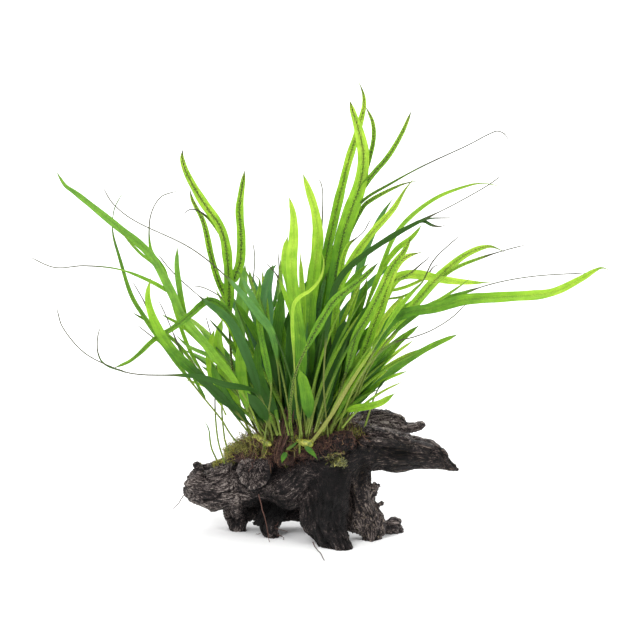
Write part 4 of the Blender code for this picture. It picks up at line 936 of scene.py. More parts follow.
# A frond has a route from its foot to its tip in the front view, depths along it, the blade's full width,
# the share of its length that is bare stalk at the foot and bare thread at the tip, the blade's turn at
# foot and tip in degrees, and lobes. A lobe has its own route, how far it drifts in depth, its width and
# its share of thread.
FRONDS = {
    "frond_left_long": dict(
        route=((-30, 61), (-34, 66), (-36, 73), (-43, 87), (-50, 98), (-57, 106), (-64, 115), (-75, 129),
            (-82, 144), (-93, 163), (-112, 179), (-132, 195), (-139, 200), (-144, 208)),
        depths=(22, 14, 8, 4, 8, 16), width=4.8, stalk=0.06, thread=0.0, turns=(10, 20),
        lobes=(
            dict(route=((-81, 139), (-91, 147), (-109, 154), (-128, 156), (-144, 155), (-158, 161)),
                 drift=-14, width=2.4, thread=0.62),
            dict(route=((-74, 127), (-76, 140), (-78, 155), (-78, 167)), drift=8, width=3.6, thread=0.0),
            dict(route=((-82, 145), (-85, 155), (-92, 165), (-93, 178), (-91, 187), (-86, 194), (-76.5, 197)),
                 drift=7, width=2.4, thread=0.5),
            dict(route=((-88, 155), (-98, 163), (-106, 172), (-110, 177)), drift=-5, width=1.8, thread=0.1),
            dict(route=((-52, 101), (-61, 107), (-72, 112), (-80, 119)), drift=6, width=2.4, thread=0.1),
        )),
    "frond_left_thin": dict(
        route=((-45, 58), (-50, 64), (-54, 71), (-66, 86), (-75, 98), (-86, 113), (-97, 129), (-104, 141),
            (-110, 160), (-114, 175), (-113, 188), (-108, 197)),
        depths=(28, 22, 30, 40), width=2.6, stalk=0.15, thread=0.12, turns=(0, 25),
        lobes=(
            dict(route=((-90, 120), (-96, 135), (-101, 144), (-104, 149)), drift=8, width=1.2, thread=0.5),
            dict(route=((-81, 106), (-87, 113), (-94, 118.5), (-102, 124.7)),
                 drift=9, width=1.2, thread=0.5),
            dict(route=((-64, 84), (-75, 106), (-84, 128), (-88.7, 138)), drift=-12, width=1.8, thread=0.3),
        )),
    "frond_left_blue": dict(
        route=((-21, 66), (-22, 90), (-26, 118), (-35, 131), (-50, 149), (-71, 166), (-100, 180),
            (-113, 190), (-119, 200)),
        depths=(34, 22, 14, 10, 16, 24), width=4.6, stalk=0.12, thread=0.48, turns=(0, 0),
        lobes=(dict(route=((-31, 126), (-36, 137), (-42, 148), (-46, 156)),
                    drift=9, width=3.0, thread=0.1),)),
    "frond_left_dark": dict(
        route=((-27, 63), (-31, 76), (-35, 92), (-42, 112), (-50, 127), (-63, 137), (-80, 152), (-90, 164)),
        depths=(26, 16, 12, 18, 26), width=5.0, stalk=0.08, thread=0.28, turns=(0, 10), lobes=()),
    "frond_left_forked": dict(
        route=((-34, 63), (-43, 82), (-48, 96), (-50, 123), (-50, 146), (-51.5, 166), (-55, 178),
            (-64, 191),
            (-72, 205), (-75, 214), (-74.5, 220)),
        depths=(30, 34, 30, 22, 14), width=5.4, stalk=0.30, stipe=0.7, thread=0.0, turns=(0, -10),
        lobes=(
            dict(route=((-50.5, 138), (-56, 148), (-60, 162), (-64, 180), (-70, 192), (-71.5, 199)),
                 drift=7, width=3.6, thread=0.0),
            dict(route=((-49.5, 148), (-44.5, 156), (-43.3, 170), (-44.2, 186), (-43.2, 196), (-41, 209)),
                 drift=-6, width=5.0, thread=0.0),
            dict(route=((-53, 172), (-60, 181), (-67, 186.5), (-71, 187), (-75.5, 183)),
                 drift=-7, width=2.2, thread=0.4),
        )),
    "frond_left_low": dict(
        route=((-38, 64), (-42, 71), (-52, 82), (-67, 97), (-80, 110), (-89, 124), (-93.5, 139),
            (-91, 153)),
        depths=(24, 6, -4, -8, -4), width=5.4, stalk=0.05, thread=0.05, turns=(15, 10), lobes=()),
    "frond_left_drooping": dict(
        route=((-28, 65), (-36, 96), (-47, 126), (-57, 136.5), (-63, 136.5), (-70, 130.5), (-80, 122.5),
            (-90, 116.5), (-98, 109), (-104, 104), (-113, 100)),
        depths=(38, 30, 12, -2, -4), width=4.0, stalk=0.20, thread=0.0, turns=(0, 40), lobes=()),
    "frond_left_trailing": dict(
        route=((-26, 60), (-29, 75), (-34, 86), (-40, 89.3), (-52, 91.5), (-68, 96), (-98, 97), (-112, 101),
            (-127, 109), (-138, 122.5), (-141, 134)),
        depths=(18, 2, -14, -34, -48), width=3.4, stalk=0.05, thread=0.50, turns=(30, 0),
        lobes=(dict(route=((-104, 98.5), (-116.5, 102.5), (-120.5, 110), (-120, 120), (-118.5, 124)),
                    drift=10, width=1.0, thread=0.6),)),
    "frond_left_bright_tip": dict(
        route=((-31, 66), (-37, 86), (-42, 104), (-48, 122), (-56, 133), (-60, 137), (-63, 140.5)),
        depths=(34, 40, 34, 22), width=4.8, stalk=0.15, thread=0.0, turns=(0, 15),
        lobes=(dict(route=((-46, 118), (-52, 136), (-60.5, 142.5), (-65, 144.7), (-71, 145)),
                    drift=12, width=1.8, thread=0.4),)),
    "frond_left_broad": dict(
        route=((-39, 64), (-46, 80), (-52, 94), (-55.5, 107), (-56.5, 117), (-54, 128)),
        depths=(36, 44, 52, 58), width=6.0, stalk=0.10, thread=0.0, turns=(0, 10), lobes=()),
    "frond_left_broad_blue": dict(
        route=((-33, 66), (-38.5, 80), (-42, 95), (-44, 110), (-44.5, 124), (-43, 142), (-41.5, 158)),
        depths=(40, 48, 54, 62), width=7.0, stalk=0.08, thread=0.0, turns=(0, 10),
        lobes=(dict(route=((-44.5, 118), (-40, 133), (-37, 150), (-36.3, 163), (-38, 171.5)),
                    drift=12, width=2.0, thread=0.5),)),
    "frond_left_short": dict(
        route=((-27.5, 67), (-30.5, 74.5), (-35, 81), (-40, 87)),
        depths=(12, 2, -6), width=6.0, stalk=0.12, thread=0.0, turns=(10, 0), lobes=()),
    "stalk_left_outer": dict(
        route=((-54, 51), (-56.5, 60), (-58, 75), (-58, 90), (-57, 104)),
        depths=(32, 36, 44), width=1.2, stalk=0.7, thread=0.3, turns=(0, 0), lobes=()),
    "stalk_left_inner": dict(
        route=((-51.5, 55.5), (-53, 62), (-54.5, 78), (-53.5, 96), (-60, 116), (-64, 130)),
        depths=(30, 46, 62), width=1.6, stalk=0.6, thread=0.2, turns=(0, 0), lobes=()),
    "crozier_left": dict(
        route=((-58, 50.5), (-60.5, 57), (-61.5, 66), (-64.5, 71.5), (-66, 72), (-65, 70.5)),
        depths=(36, 32, 30), width=1.2, stalk=0.9, thread=0.05, turns=(0, 0), lobes=()),
    "frond_inner_dark": dict(
        route=((-24, 64), (-26, 80), (-26, 98), (-24, 116), (-22, 134), (-20, 146)),
        depths=(22, 26, 26, 30), width=6.2, stalk=0.05, thread=0.0, turns=(-10, 0),
        lobes=(dict(route=((-25.5, 104), (-31, 118), (-35, 132), (-40, 144)),
                    drift=-8, width=4.0, thread=0.05),)),
    "frond_inner_arching": dict(
        route=((-30, 64), (-28, 78), (-26.8, 90), (-29.5, 104), (-33, 122), (-34, 138), (-33, 148),
            (-38, 152)),
        depths=(14, 10, 18, 28), width=3.6, stalk=0.20, thread=0.05, turns=(0, 0), lobes=()),
    "frond_back_blue": dict(
        route=((-20, 68), (-24, 96), (-28, 124), (-30, 142), (-27, 155), (-24, 158)),
        depths=(44, 60, 76, 84), width=7.5, stalk=0.10, thread=0.0, turns=(0, 10),
        lobes=(
            dict(route=((-29, 130), (-34, 140), (-38, 148), (-40, 154)), drift=8, width=4.5, thread=0.0),
            dict(route=((-29, 128), (-25, 138), (-23, 152), (-23.5, 166)), drift=10, width=2.2, thread=0.4),
        )),
    "frond_centre_dark": dict(
        route=((-16.5, 66), (-16, 82), (-15.5, 98), (-16.5, 114), (-15.8, 126), (-15.5, 130)),
        depths=(30, 22, 20), width=6.4, stalk=0.06, thread=0.0, turns=(0, -20), lobes=()),
    "frond_centre_bright": dict(
        route=((-7.5, 63), (-9, 78), (-10, 96), (-10.5, 112), (-12, 126), (-14.5, 142), (-15.5, 158),
            (-14.3, 172), (-14.6, 184), (-17, 194)),
        depths=(20, 14, 8, 4), width=6.4, stalk=0.12, thread=0.0, turns=(5, 0),
        lobes=(
            dict(route=((-11.5, 120), (-17.5, 136), (-23, 150), (-31, 159.5)),
                 drift=9, width=2.6, thread=0.2),
            dict(route=((-14, 138), (-18.5, 152), (-19.3, 163), (-17.5, 173)),
                 drift=14, width=4.0, thread=0.0),
            dict(route=((-10.5, 114), (-9.5, 134), (-10.3, 152), (-11, 166)),
                 drift=20, width=3.6, thread=0.1),
        )),
    "frond_centre_tall": dict(
        route=((-2.5, 65), (-5, 84), (-6, 104), (-6, 126), (-4, 146), (-2, 162), (-1.2, 174),
            (-3.2, 188), (-9.5, 207)),
        depths=(32, 28, 26, 24), width=6.8, stalk=0.10, thread=0.0, turns=(0, 0),
        lobes=(dict(route=((-2.5, 152), (0.5, 172), (1.5, 190), (1, 200), (-2, 206)),
                    drift=8, width=1.6, thread=0.6),)),
    "frond_centre_pale_curl": dict(
        route=((-10.5, 64.5), (-12.5, 76), (-13.5, 92), (-14.5, 112), (-15, 128), (-13, 137.5),
            (-7.5, 140.8),
            (-1.5, 146.5), (1.6, 153), (1.8, 160), (0.2, 164.5)),
        depths=(19, 6, -6, -10), width=2.2, stalk=0.30, thread=0.05, turns=(0, 30), lobes=()),
    "frond_centre_front": dict(
        route=((-6, 66.5), (-6.3, 75), (-7.6, 86), (-9.5, 94), (-11.5, 100)),
        depths=(20, 10, 4), width=7.0, stalk=0.16, thread=0.0, turns=(-15, 10), lobes=()),
    "frond_speckled_stalk": dict(
        route=((-15, 60), (-16.5, 74), (-14, 95), (-8, 110), (-1, 123), (7, 136), (16, 143.5), (24, 150),
            (32, 158)),
        depths=(20, 4, -4, -6), width=4.6, stalk=0.35, stipe=0.8, thread=0.0, turns=(0, 0), lobes=()),
    "frond_right_tall": dict(
        route=((5, 69), (6, 90), (6, 112), (7, 134), (9, 154), (12.5, 172), (16.5, 185), (22, 201),
            (23.8, 216), (21.5, 229), (18, 240), (16, 247)),
        depths=(36, 34, 32, 30, 28), width=8.2, stalk=0.10, thread=0.0, turns=(0, 0),
        lobes=(
            dict(route=((22, 199), (26.3, 213), (29.3, 225), (28.8, 235), (24.6, 244)),
                 drift=7, width=2.8, thread=0.0),
            dict(route=((18.5, 191), (28.3, 205.5), (37.3, 216), (45, 229), (50, 241)),
                 drift=-9, width=3.2, thread=0.0),
            dict(route=((14.5, 180), (23.8, 192), (38.4, 201), (56, 210.5), (79, 221), (97, 229.3),
            (103, 223)),
                 drift=-18, width=1.8, thread=0.55),
            dict(route=((11, 166), (22.7, 187), (29.4, 193.2), (45, 201), (55, 203)),
                 drift=12, width=2.6, thread=0.1),
        )),
    "frond_right_companion": dict(
        route=((2.5, 68.5), (1.5, 92), (0.5, 118), (1, 142), (3.5, 162), (7, 178), (11.4, 197), (16, 215),
            (21, 231), (24.4, 245), (23.2, 253), (20.4, 259)),
        depths=(40, 50, 54, 56), width=5.0, stalk=0.12, thread=0.02, turns=(0, 10), lobes=()),
    "frond_right_upper": dict(
        route=((8, 70), (9, 94), (8.5, 118), (9, 138), (17, 158), (28.3, 174), (39.5, 186.4),
            (46, 197), (52, 204.5)),
        depths=(34, 24, 12, 0), width=4.6, stalk=0.12, thread=0.05, turns=(0, 0),
        lobes=(dict(route=((9.5, 142), (12.5, 160), (17, 169.5), (22.7, 173.2), (28.8, 183.6)),
                    drift=6, width=3.2, thread=0.35),)),
    "frond_right_blue": dict(
        route=((11, 71), (14, 96), (17, 120), (20, 145), (24, 162), (31.6, 179.7), (37, 189), (41.5, 195)),
        depths=(42, 54, 62, 68), width=4.6, stalk=0.15, thread=0.03, turns=(0, 0), lobes=()),
    "frond_right_long_dark": dict(
        route=((4, 67), (2, 90), (3, 112), (6, 134), (11, 149), (22.7, 160.6), (39.5, 171.8), (56, 180.8),
            (72, 188.7), (90, 198.8), (98.5, 205)),
        depths=(16, 8, 0, -12, -20), width=3.8, stalk=0.15, thread=0.22, turns=(20, 30),
        lobes=(
            dict(route=((47, 176), (56.3, 180), (61, 177.6), (66, 177.2), (70, 179)),
                 drift=-6, width=2.2, thread=0.2),
            dict(route=((50, 178), (58, 181.2), (66, 181.8), (74.5, 181.8)),
                 drift=7, width=0.8, thread=0.6),
        )),
    "frond_right_arching": dict(
        route=((13, 71), (17, 92), (20, 112), (25, 132), (32, 150), (40, 170.7), (49.6, 183), (65, 194.3),
            (83, 201), (92, 201.8), (100, 200)),
        depths=(38, 36, 44, 54), width=2.7, stalk=0.25, thread=0.05, turns=(0, 20),
        lobes=(dict(route=((33, 153), (42, 165), (50.7, 172), (56, 179)),
                    drift=-7, width=3.2, thread=0.0),)),
    "frond_right_speckled": dict(
        route=((7, 68), (10, 84), (16, 103), (20, 118), (27, 130), (33.5, 143), (39, 155),
            (45.5, 163.5), (50, 172)),
        depths=(28, 20, 14, 8), width=5.4, stalk=0.18, stipe=0.8, thread=0.0, turns=(0, 0), lobes=()),
    "frond_right_hooked": dict(
        route=((9.5, 69), (17, 90), (24, 108), (29, 122), (34.5, 136), (37.5, 146), (42, 156),
            (48, 161.5), (59, 164.5)),
        depths=(32, 26, 28, 34), width=5.2, stalk=0.20, stipe=0.8, thread=0.05, turns=(0, 10),
        lobes=(
            dict(route=((38.5, 149), (48, 151), (54, 156), (60, 161), (61, 163.6), (59, 163.2)),
                 drift=7, width=1.6, thread=0.4),
            dict(route=((35, 137), (47, 140), (56, 147), (63, 160), (78, 174)),
                 drift=16, width=1.4, thread=0.5),
        )),
    "frond_right_forked": dict(
        route=((12, 70), (20, 90), (28, 107), (35, 118), (42, 125), (50, 133), (63, 148), (79, 161.7),
            (93, 167), (103, 163)),
        depths=(30, 20, 24, 36), width=5.0, stalk=0.18, thread=0.05, turns=(10, 0),
        lobes=(dict(route=((60, 144.5), (74.3, 155), (90, 161.2), (104, 165.5), (114, 168)),
                    drift=9, width=2.2, thread=0.3),)),
    "frond_right_yellow": dict(
        route=((15, 72), (22, 92), (28, 112), (33, 130), (38, 143), (44, 150.5), (55, 151.5), (70, 148.5),
            (84, 147.3), (97, 147.4)),
        depths=(44, 52, 56, 60), width=5.2, stalk=0.25, stipe=0.8, thread=0.05, turns=(0, 10),
        lobes=(dict(route=((37, 141), (48, 145), (58, 150), (63, 156), (68, 157.6)),
                    drift=8, width=2.0, thread=0.2),)),
    "frond_right_low": dict(
        route=((14, 71), (20.5, 88), (27, 104), (33.5, 117), (40, 127), (50, 131), (62, 133), (79, 137.5),
            (101, 139), (124, 141), (140, 148.3), (150.5, 154.4), (156.3, 153)),
        depths=(26, 8, -8, -20, -30), width=5.8, stalk=0.15, thread=0.02, turns=(0, 10),
        lobes=(dict(route=((52, 131.5), (64, 137), (77.7, 146), (82.3, 149.6)),
                    drift=9, width=1.8, thread=0.1),)),
    "frond_right_low_thread": dict(
        route=((17, 73), (25, 96), (36, 114), (48, 126), (61, 135), (79, 141.5), (97, 147),
            (118, 150.5), (146, 152.2)),
        depths=(34, 10, 4, 6), width=3.2, stalk=0.20, thread=0.36, turns=(0, 0), lobes=()),
    "frond_right_thread": dict(
        route=((10.5, 68.5), (18, 88), (27, 103), (38.4, 113.5), (49.6, 117), (58.6, 120.2), (67.6, 125.3),
            (73.2, 129.7), (79, 135.5)),
        depths=(20, -6, -24, -34), width=2.0, stalk=0.35, thread=0.4, turns=(0, 0), lobes=()),
    "frond_right_base": dict(
        route=((10, 73.2), (15, 76.6), (22, 78.3), (33, 80.8), (41.5, 86.8)),
        depths=(22, 14, 8), width=4.0, stalk=0.06, thread=0.04, turns=(0, 10), lobes=()),
    "frond_right_broad": dict(
        route=((0.5, 67), (2.5, 84), (6, 98), (10.5, 112), (14, 127.5)),
        depths=(24, 22, 24), width=9.5, stalk=0.04, thread=0.0, turns=(0, 0), lobes=()),
    "frond_right_edge": dict(
        route=((6.3, 71.5), (8.2, 84), (11, 98), (15, 112), (21, 124), (29, 135), (34, 139.5)),
        depths=(42, 38, 36), width=7.4, stalk=0.06, thread=0.0, turns=(0, 0), lobes=()),
    "stalk_front_pale": dict(
        route=((-3.5, 60.8), (0.5, 66), (8, 77), (16, 91), (25, 105), (32, 116), (40, 129), (47, 138),
            (58, 150)),
        depths=(16, 2, -2, 0), width=3.0, stalk=0.55, stipe=1.0, thread=0.05, turns=(0, 0), lobes=()),
}

# How each frond looks where it isn't plain: age at the foot and tip (0 young lime, 1 old dark green), how
# blue it is, and how thickly it is dotted with spores.
LOOKS = {
    "frond_left_long": dict(age=(0.15, 0.28), blue=0.15, dots=0.2),
    "frond_left_thin": dict(age=(0.35, 0.35), dots=0.4),
    "frond_left_blue": dict(age=(0.40, 0.35), blue=0.35),
    "frond_left_dark": dict(age=(0.75, 0.50), blue=0.1),
    "frond_left_forked": dict(age=(0.45, 0.05), dots=1.2),
    "frond_left_low": dict(age=(0.85, 0.08), dots=0.2),
    "frond_left_drooping": dict(age=(0.50, 0.30), dots=0.6),
    "frond_left_trailing": dict(age=(0.75, 0.45)),
    "frond_left_bright_tip": dict(age=(0.60, 0.05)),
    "frond_left_broad": dict(age=(0.10, 0.15), blue=0.0),
    "frond_left_broad_blue": dict(age=(0.10, 0.25), blue=0.25),
    "frond_left_short": dict(age=(0.85, 0.80)),
    "frond_inner_dark": dict(age=(0.90, 0.50)),
    "frond_inner_arching": dict(age=(0.45, 0.30), dots=0.5),
    "frond_back_blue": dict(age=(0.50, 0.45), blue=0.55),
    "frond_centre_dark": dict(age=(0.90, 0.70)),
    "frond_centre_bright": dict(age=(0.50, 0.02), dots=0.2),
    "frond_centre_tall": dict(age=(0.55, 0.0), dots=0.3),
    "frond_centre_pale_curl": dict(age=(0.15, 0.0)),
    "frond_centre_front": dict(age=(0.55, 0.25)),
    "frond_speckled_stalk": dict(age=(0.35, 0.30), dots=1.0),
    "frond_right_tall": dict(age=(0.75, 0.02), dots=1.0),
    "frond_right_companion": dict(age=(0.65, 0.02), dots=0.9),
    "frond_right_upper": dict(age=(0.35, 0.0), dots=0.6),
    "frond_right_blue": dict(age=(0.45, 0.40), blue=0.25),
    "frond_right_long_dark": dict(age=(0.80, 0.70), dots=0.3),
    "frond_right_arching": dict(age=(0.20, 0.10), dots=0.3),
    "frond_right_speckled": dict(age=(0.40, 0.08), dots=0.9),
    "frond_right_hooked": dict(age=(0.30, 0.0), dots=0.9),
    "frond_right_forked": dict(age=(0.30, 0.05), dots=0.7),
    "frond_right_yellow": dict(age=(0.15, 0.0), dots=0.3),
    "frond_right_low": dict(age=(0.60, 0.05), dots=0.3),
    "frond_right_low_thread": dict(age=(0.45, 0.35), dots=0.3),
    "frond_right_base": dict(age=(0.20, 0.10), dots=0.3),
    "frond_right_broad": dict(age=(0.95, 0.75)),
    "frond_right_edge": dict(age=(0.80, 0.50), dots=0.6),
    "stalk_front_pale": dict(age=(0.0, 0.20), dots=0.3, stout=2.0, straw=1.0),
}

# Young and hidden leaves that crowd the heart of the plant. Each is drawn with the frond beside it.
INNER_LEAVES = (
    ("frond_right_companion", dict(route=((-3, 66), (-5, 84), (-2, 105), (5, 126), (16, 146), (27, 158)),
        depths=(30, 30, 26), width=5.0, stalk=0.10, age=(0.75, 0.30), dots=0.4)),
    ("frond_right_blue", dict(route=((5, 70), (3, 95), (4, 115), (14, 131), (27, 146), (40, 158)),
        depths=(34, 44, 52), width=4.6, stalk=0.12, age=(0.60, 0.40), blue=0.25)),
    ("frond_right_forked", dict(route=((8, 70), (11, 88), (17, 106), (28, 121), (44, 131), (60, 142)),
        depths=(28, 34, 36), width=4.4, stalk=0.12, age=(0.60, 0.30), dots=0.6)),
    ("frond_centre_dark", dict(route=((-20, 66), (-22, 90), (-20, 112), (-14, 132), (-6, 150)),
        depths=(34, 38, 44), width=6.0, stalk=0.10, age=(0.80, 0.50))),
    ("frond_left_broad_blue", dict(route=((-24, 66), (-27, 88), (-31, 108), (-33, 128), (-30, 146),
        (-26, 158)),
        depths=(38, 56, 70), width=6.0, stalk=0.10, age=(0.55, 0.45), blue=0.4)),
    ("frond_left_bright_tip", dict(route=((-15, 66), (-20, 86), (-27, 104), (-37, 122), (-48, 138)),
        depths=(36, 40, 46), width=5.0, stalk=0.10, age=(0.65, 0.35))),
    ("frond_centre_front", dict(route=((-12, 66), (-14, 78), (-13, 92), (-9, 106)),
        depths=(22, 18, 16), width=7.0, stalk=0.08, age=(0.90, 0.60))),
    ("frond_left_broad", dict(route=((-26, 64), (-33, 74), (-38, 90), (-40, 106)),
        depths=(30, 34, 38), width=6.4, stalk=0.08, age=(0.90, 0.60))),
    ("frond_centre_tall", dict(route=((-2, 66), (-3, 80), (-1, 96), (2, 112), (3, 124)),
        depths=(34, 36, 40), width=7.0, stalk=0.08, age=(0.95, 0.70))),
    ("frond_right_edge", dict(route=((10, 70), (14, 84), (20, 98), (27, 112)),
        depths=(30, 30, 34), width=5.4, stalk=0.10, age=(0.85, 0.55))),
    ("frond_left_long", dict(route=((-34, 64), (-44, 74), (-54, 88), (-60, 104)),
        depths=(30, 26, 24), width=5.2, stalk=0.10, age=(0.80, 0.40))),
    ("frond_right_low_thread", dict(route=((14, 71), (22, 84), (32, 100), (43, 114), (55, 124)),
        depths=(36, 30, 26), width=4.0, stalk=0.15, age=(0.60, 0.30), dots=0.5)),
    ("frond_right_tall", dict(route=((-6, 66), (-9, 90), (-6, 112), (0, 136), (6, 158), (8, 170)),
        depths=(38, 44, 48), width=6.6, stalk=0.10, age=(0.70, 0.35), dots=0.6)),
    ("frond_centre_bright", dict(route=((-10, 66), (-13, 86), (-18, 104), (-22, 122), (-24, 138)),
        depths=(26, 30, 34), width=6.0, stalk=0.10, age=(0.75, 0.30))),
    ("frond_right_speckled", dict(route=((6, 68), (6, 86), (10, 104), (18, 124), (24, 140), (26, 150)),
        depths=(32, 36, 40), width=5.6, stalk=0.10, age=(0.75, 0.35), dots=0.5)),
    ("frond_inner_dark", dict(route=((-22, 62), (-24, 74), (-30, 86), (-34, 100), (-34, 116)),
        depths=(24, 20, 20), width=5.6, stalk=0.12, age=(0.85, 0.45))),
    ("frond_centre_front", dict(route=((-8.5, 57.0), (-6.0, 55.0), (-3.5, 52.5), (-1.5, 49.8)),
        depths=(13.5, 12.0, 11.5), width=3.2, stalk=0.0, age=(0.60, 0.45))),
    ("frond_speckled_stalk", dict(route=((-18.2, 53.5), (-19.6, 52.0), (-20.6, 50.0), (-21.0, 47.6)),
        depths=(12.5, 11.5, 11.5), width=3.0, stalk=0.0, age=(0.65, 0.40))),
    ("frond_speckled_stalk", dict(route=((-18.5, 55.0), (-16.0, 56.6), (-14.0, 58.0), (-12.0, 60.0)),
        depths=(13.0, 12.0, 12.0), width=1.8, stalk=0.0, age=(0.70, 0.50))),
    ("frond_right_low", dict(route=((12.0, 74.0), (17.0, 80.0), (22.0, 84.0), (27.0, 85.5)),
        depths=(24.0, 22.0, 21.0), width=2.2, stalk=0.3, age=(0.60, 0.60))),
    ("frond_right_low", dict(route=((28.0, 78.0), (30.0, 84.0), (33.0, 90.0), (37.0, 94.5)),
        depths=(26.0, 26.0, 26.0), width=1.8, stalk=0.5, age=(0.50, 0.75))),
    ("frond_left_broad", dict(route=((-40, 76), (-41, 84), (-43, 96), (-43.5, 108), (-41, 119)),
        depths=(16, 14, 14), width=6.0, stalk=0.0, age=(0.30, 0.25))),
    ("frond_left_long", dict(route=((-52, 74), (-57, 86), (-60, 98), (-61, 110), (-58, 122)),
        depths=(30, 30, 32), width=4.4, stalk=0.05, age=(0.10, 0.10))),
    ("frond_left_long", dict(route=((-58, 84), (-68, 100), (-79, 114), (-92, 124), (-104, 131)),
        depths=(26, 26, 26), width=2.0, stalk=0.2, age=(0.25, 0.30), dots=0.6)),
    ("frond_left_blue", dict(route=((-38, 74), (-48, 92), (-60, 108), (-74, 122), (-88, 130)),
        depths=(22, 22, 22), width=2.4, stalk=0.3, age=(0.40, 0.20), dots=0.4)),
    ("frond_left_drooping", dict(route=((-44, 70), (-58, 88), (-70, 106), (-78, 126), (-84, 146)),
        depths=(30, 32, 34), width=2.2, stalk=0.3, age=(0.35, 0.20))),
)


# More young leaves, in groups: how many, their lengths and widths, age at the foot and the least and most
# age at the tip, depths, the outermost lean in degrees, and how blue the left half of the group is.
CROWDS = (
    (20, (30.0, 52.0), (3.4, 5.4), (0.95, 0.45, 0.95), (22.0, 34.0), 32.0, 0.0),
    (26, (46.0, 78.0), (2.6, 4.8), (0.85, 0.15, 0.85), (26.0, 46.0), 40.0, 0.15),
    (32, (75.0, 112.0), (2.4, 4.4), (0.75, 0.05, 0.60), (30.0, 62.0), 46.0, 0.35),
    (30, (40.0, 92.0), (1.1, 2.2), (0.45, 0.10, 0.75), (10.0, 26.0), 56.0, 0.0),
)


def shares_of(points):
    """How far along its line each point lies, from 0 to 1, and the line's length."""
    steps = np.linalg.norm(np.diff(points, axis=0), axis=1)
    along = np.concatenate([[0.0], np.cumsum(steps)])
    return along / along[-1], along[-1]


def at_shares(points, wanted):
    share, _ = shares_of(points[:, :2])
    return np.column_stack([np.interp(wanted, share, column) for column in points.T])


def ribbon(route, depths, steps):
    """Samples (x, v, y) about SAMPLE_STEP apart along a route, with the depths spread evenly over it."""
    line = smooth(route)
    share, length = shares_of(line)
    leans = depths[0] + SPLAY * (np.asarray(depths, float) - depths[0])
    depth_line = smooth(leans[:, None], steps=8)[:, 0]
    depth = np.interp(share, np.linspace(0.0, 1.0, len(depth_line)), depth_line)
    count = max(steps, int(round(length / SAMPLE_STEP)) + 1)
    return at_shares(np.column_stack([line, depth]), np.linspace(0.0, 1.0, count))


def half_widths(share, width, stalk, thread, stipe=STALK_HALF_WIDTH):
    """Half the width of a frond or lobe along its length: stalk, blade, taper, thread."""
    blade_end = 1.0 - thread
    fade = 0.5 * (blade_end + stalk)
    slim = np.clip((share - fade) / max(blade_end - fade, 1e-9), 0.0, 1.0)
    blade = ramp(stalk, stalk + 0.22, share) * np.sqrt(np.clip(1.0 - slim**2, 0.0, 1.0))
    bare = stipe + (THREAD_HALF_WIDTH - stipe) * ramp(0.3, 0.8, share)
    return np.maximum(bare, 0.5 * width * blade)


def plan_fronds():
    """The ribbons of every frond, spread in depth until none is in another's way."""
    ribbons = []
    for order, (name, frond) in enumerate(FRONDS.items()):
        samples = ribbon(frond["route"], frond["depths"], 6)
        share = np.linspace(0.0, 1.0, len(samples))
        stipe = frond.get("stipe", STALK_HALF_WIDTH)
        widths = half_widths(share, frond["width"], frond["stalk"], frond["thread"], stipe)
        parent = dict(name=name, order=order, samples=samples, half=widths, root=None, spec=frond, lobes=[])
        ribbons.append(parent)
        for spec in frond["lobes"]:
            start = np.array(spec["route"][0], float)
            root = int(np.argmin(np.linalg.norm(samples[:, :2] - start, axis=1)))
            route = [tuple(samples[root, :2])] + list(spec["route"][1:])
            depth = samples[root, 2]
            drifts = (depth, depth + 0.3 * spec["drift"], depth + spec["drift"])
            lobe_samples = ribbon(route, drifts, 4)
            lobe_share = np.linspace(0.0, 1.0, len(lobe_samples))
            lobe_half = half_widths(lobe_share, spec["width"], -0.22, spec["thread"])
            lobe = dict(name=name, order=order, samples=lobe_samples, half=lobe_half, root=root, spec=spec,
                        parent=parent)
            parent["lobes"].append(lobe)
            ribbons.append(lobe)
    spread_in_depth(ribbons)
    return [ribbon for ribbon in ribbons if ribbon["root"] is None]


# Fronds less than GAP apart are pushed apart, by more where they are wide. Where two ribbons of one frond
# part, they may touch over their first YOUNG_REACH.
SPREAD_ROUNDS = 260
GAP = 1.15
GAP_BY_WIDTH = 0.42
YOUNG_REACH = 14.0
SPREAD_RATE = 0.9


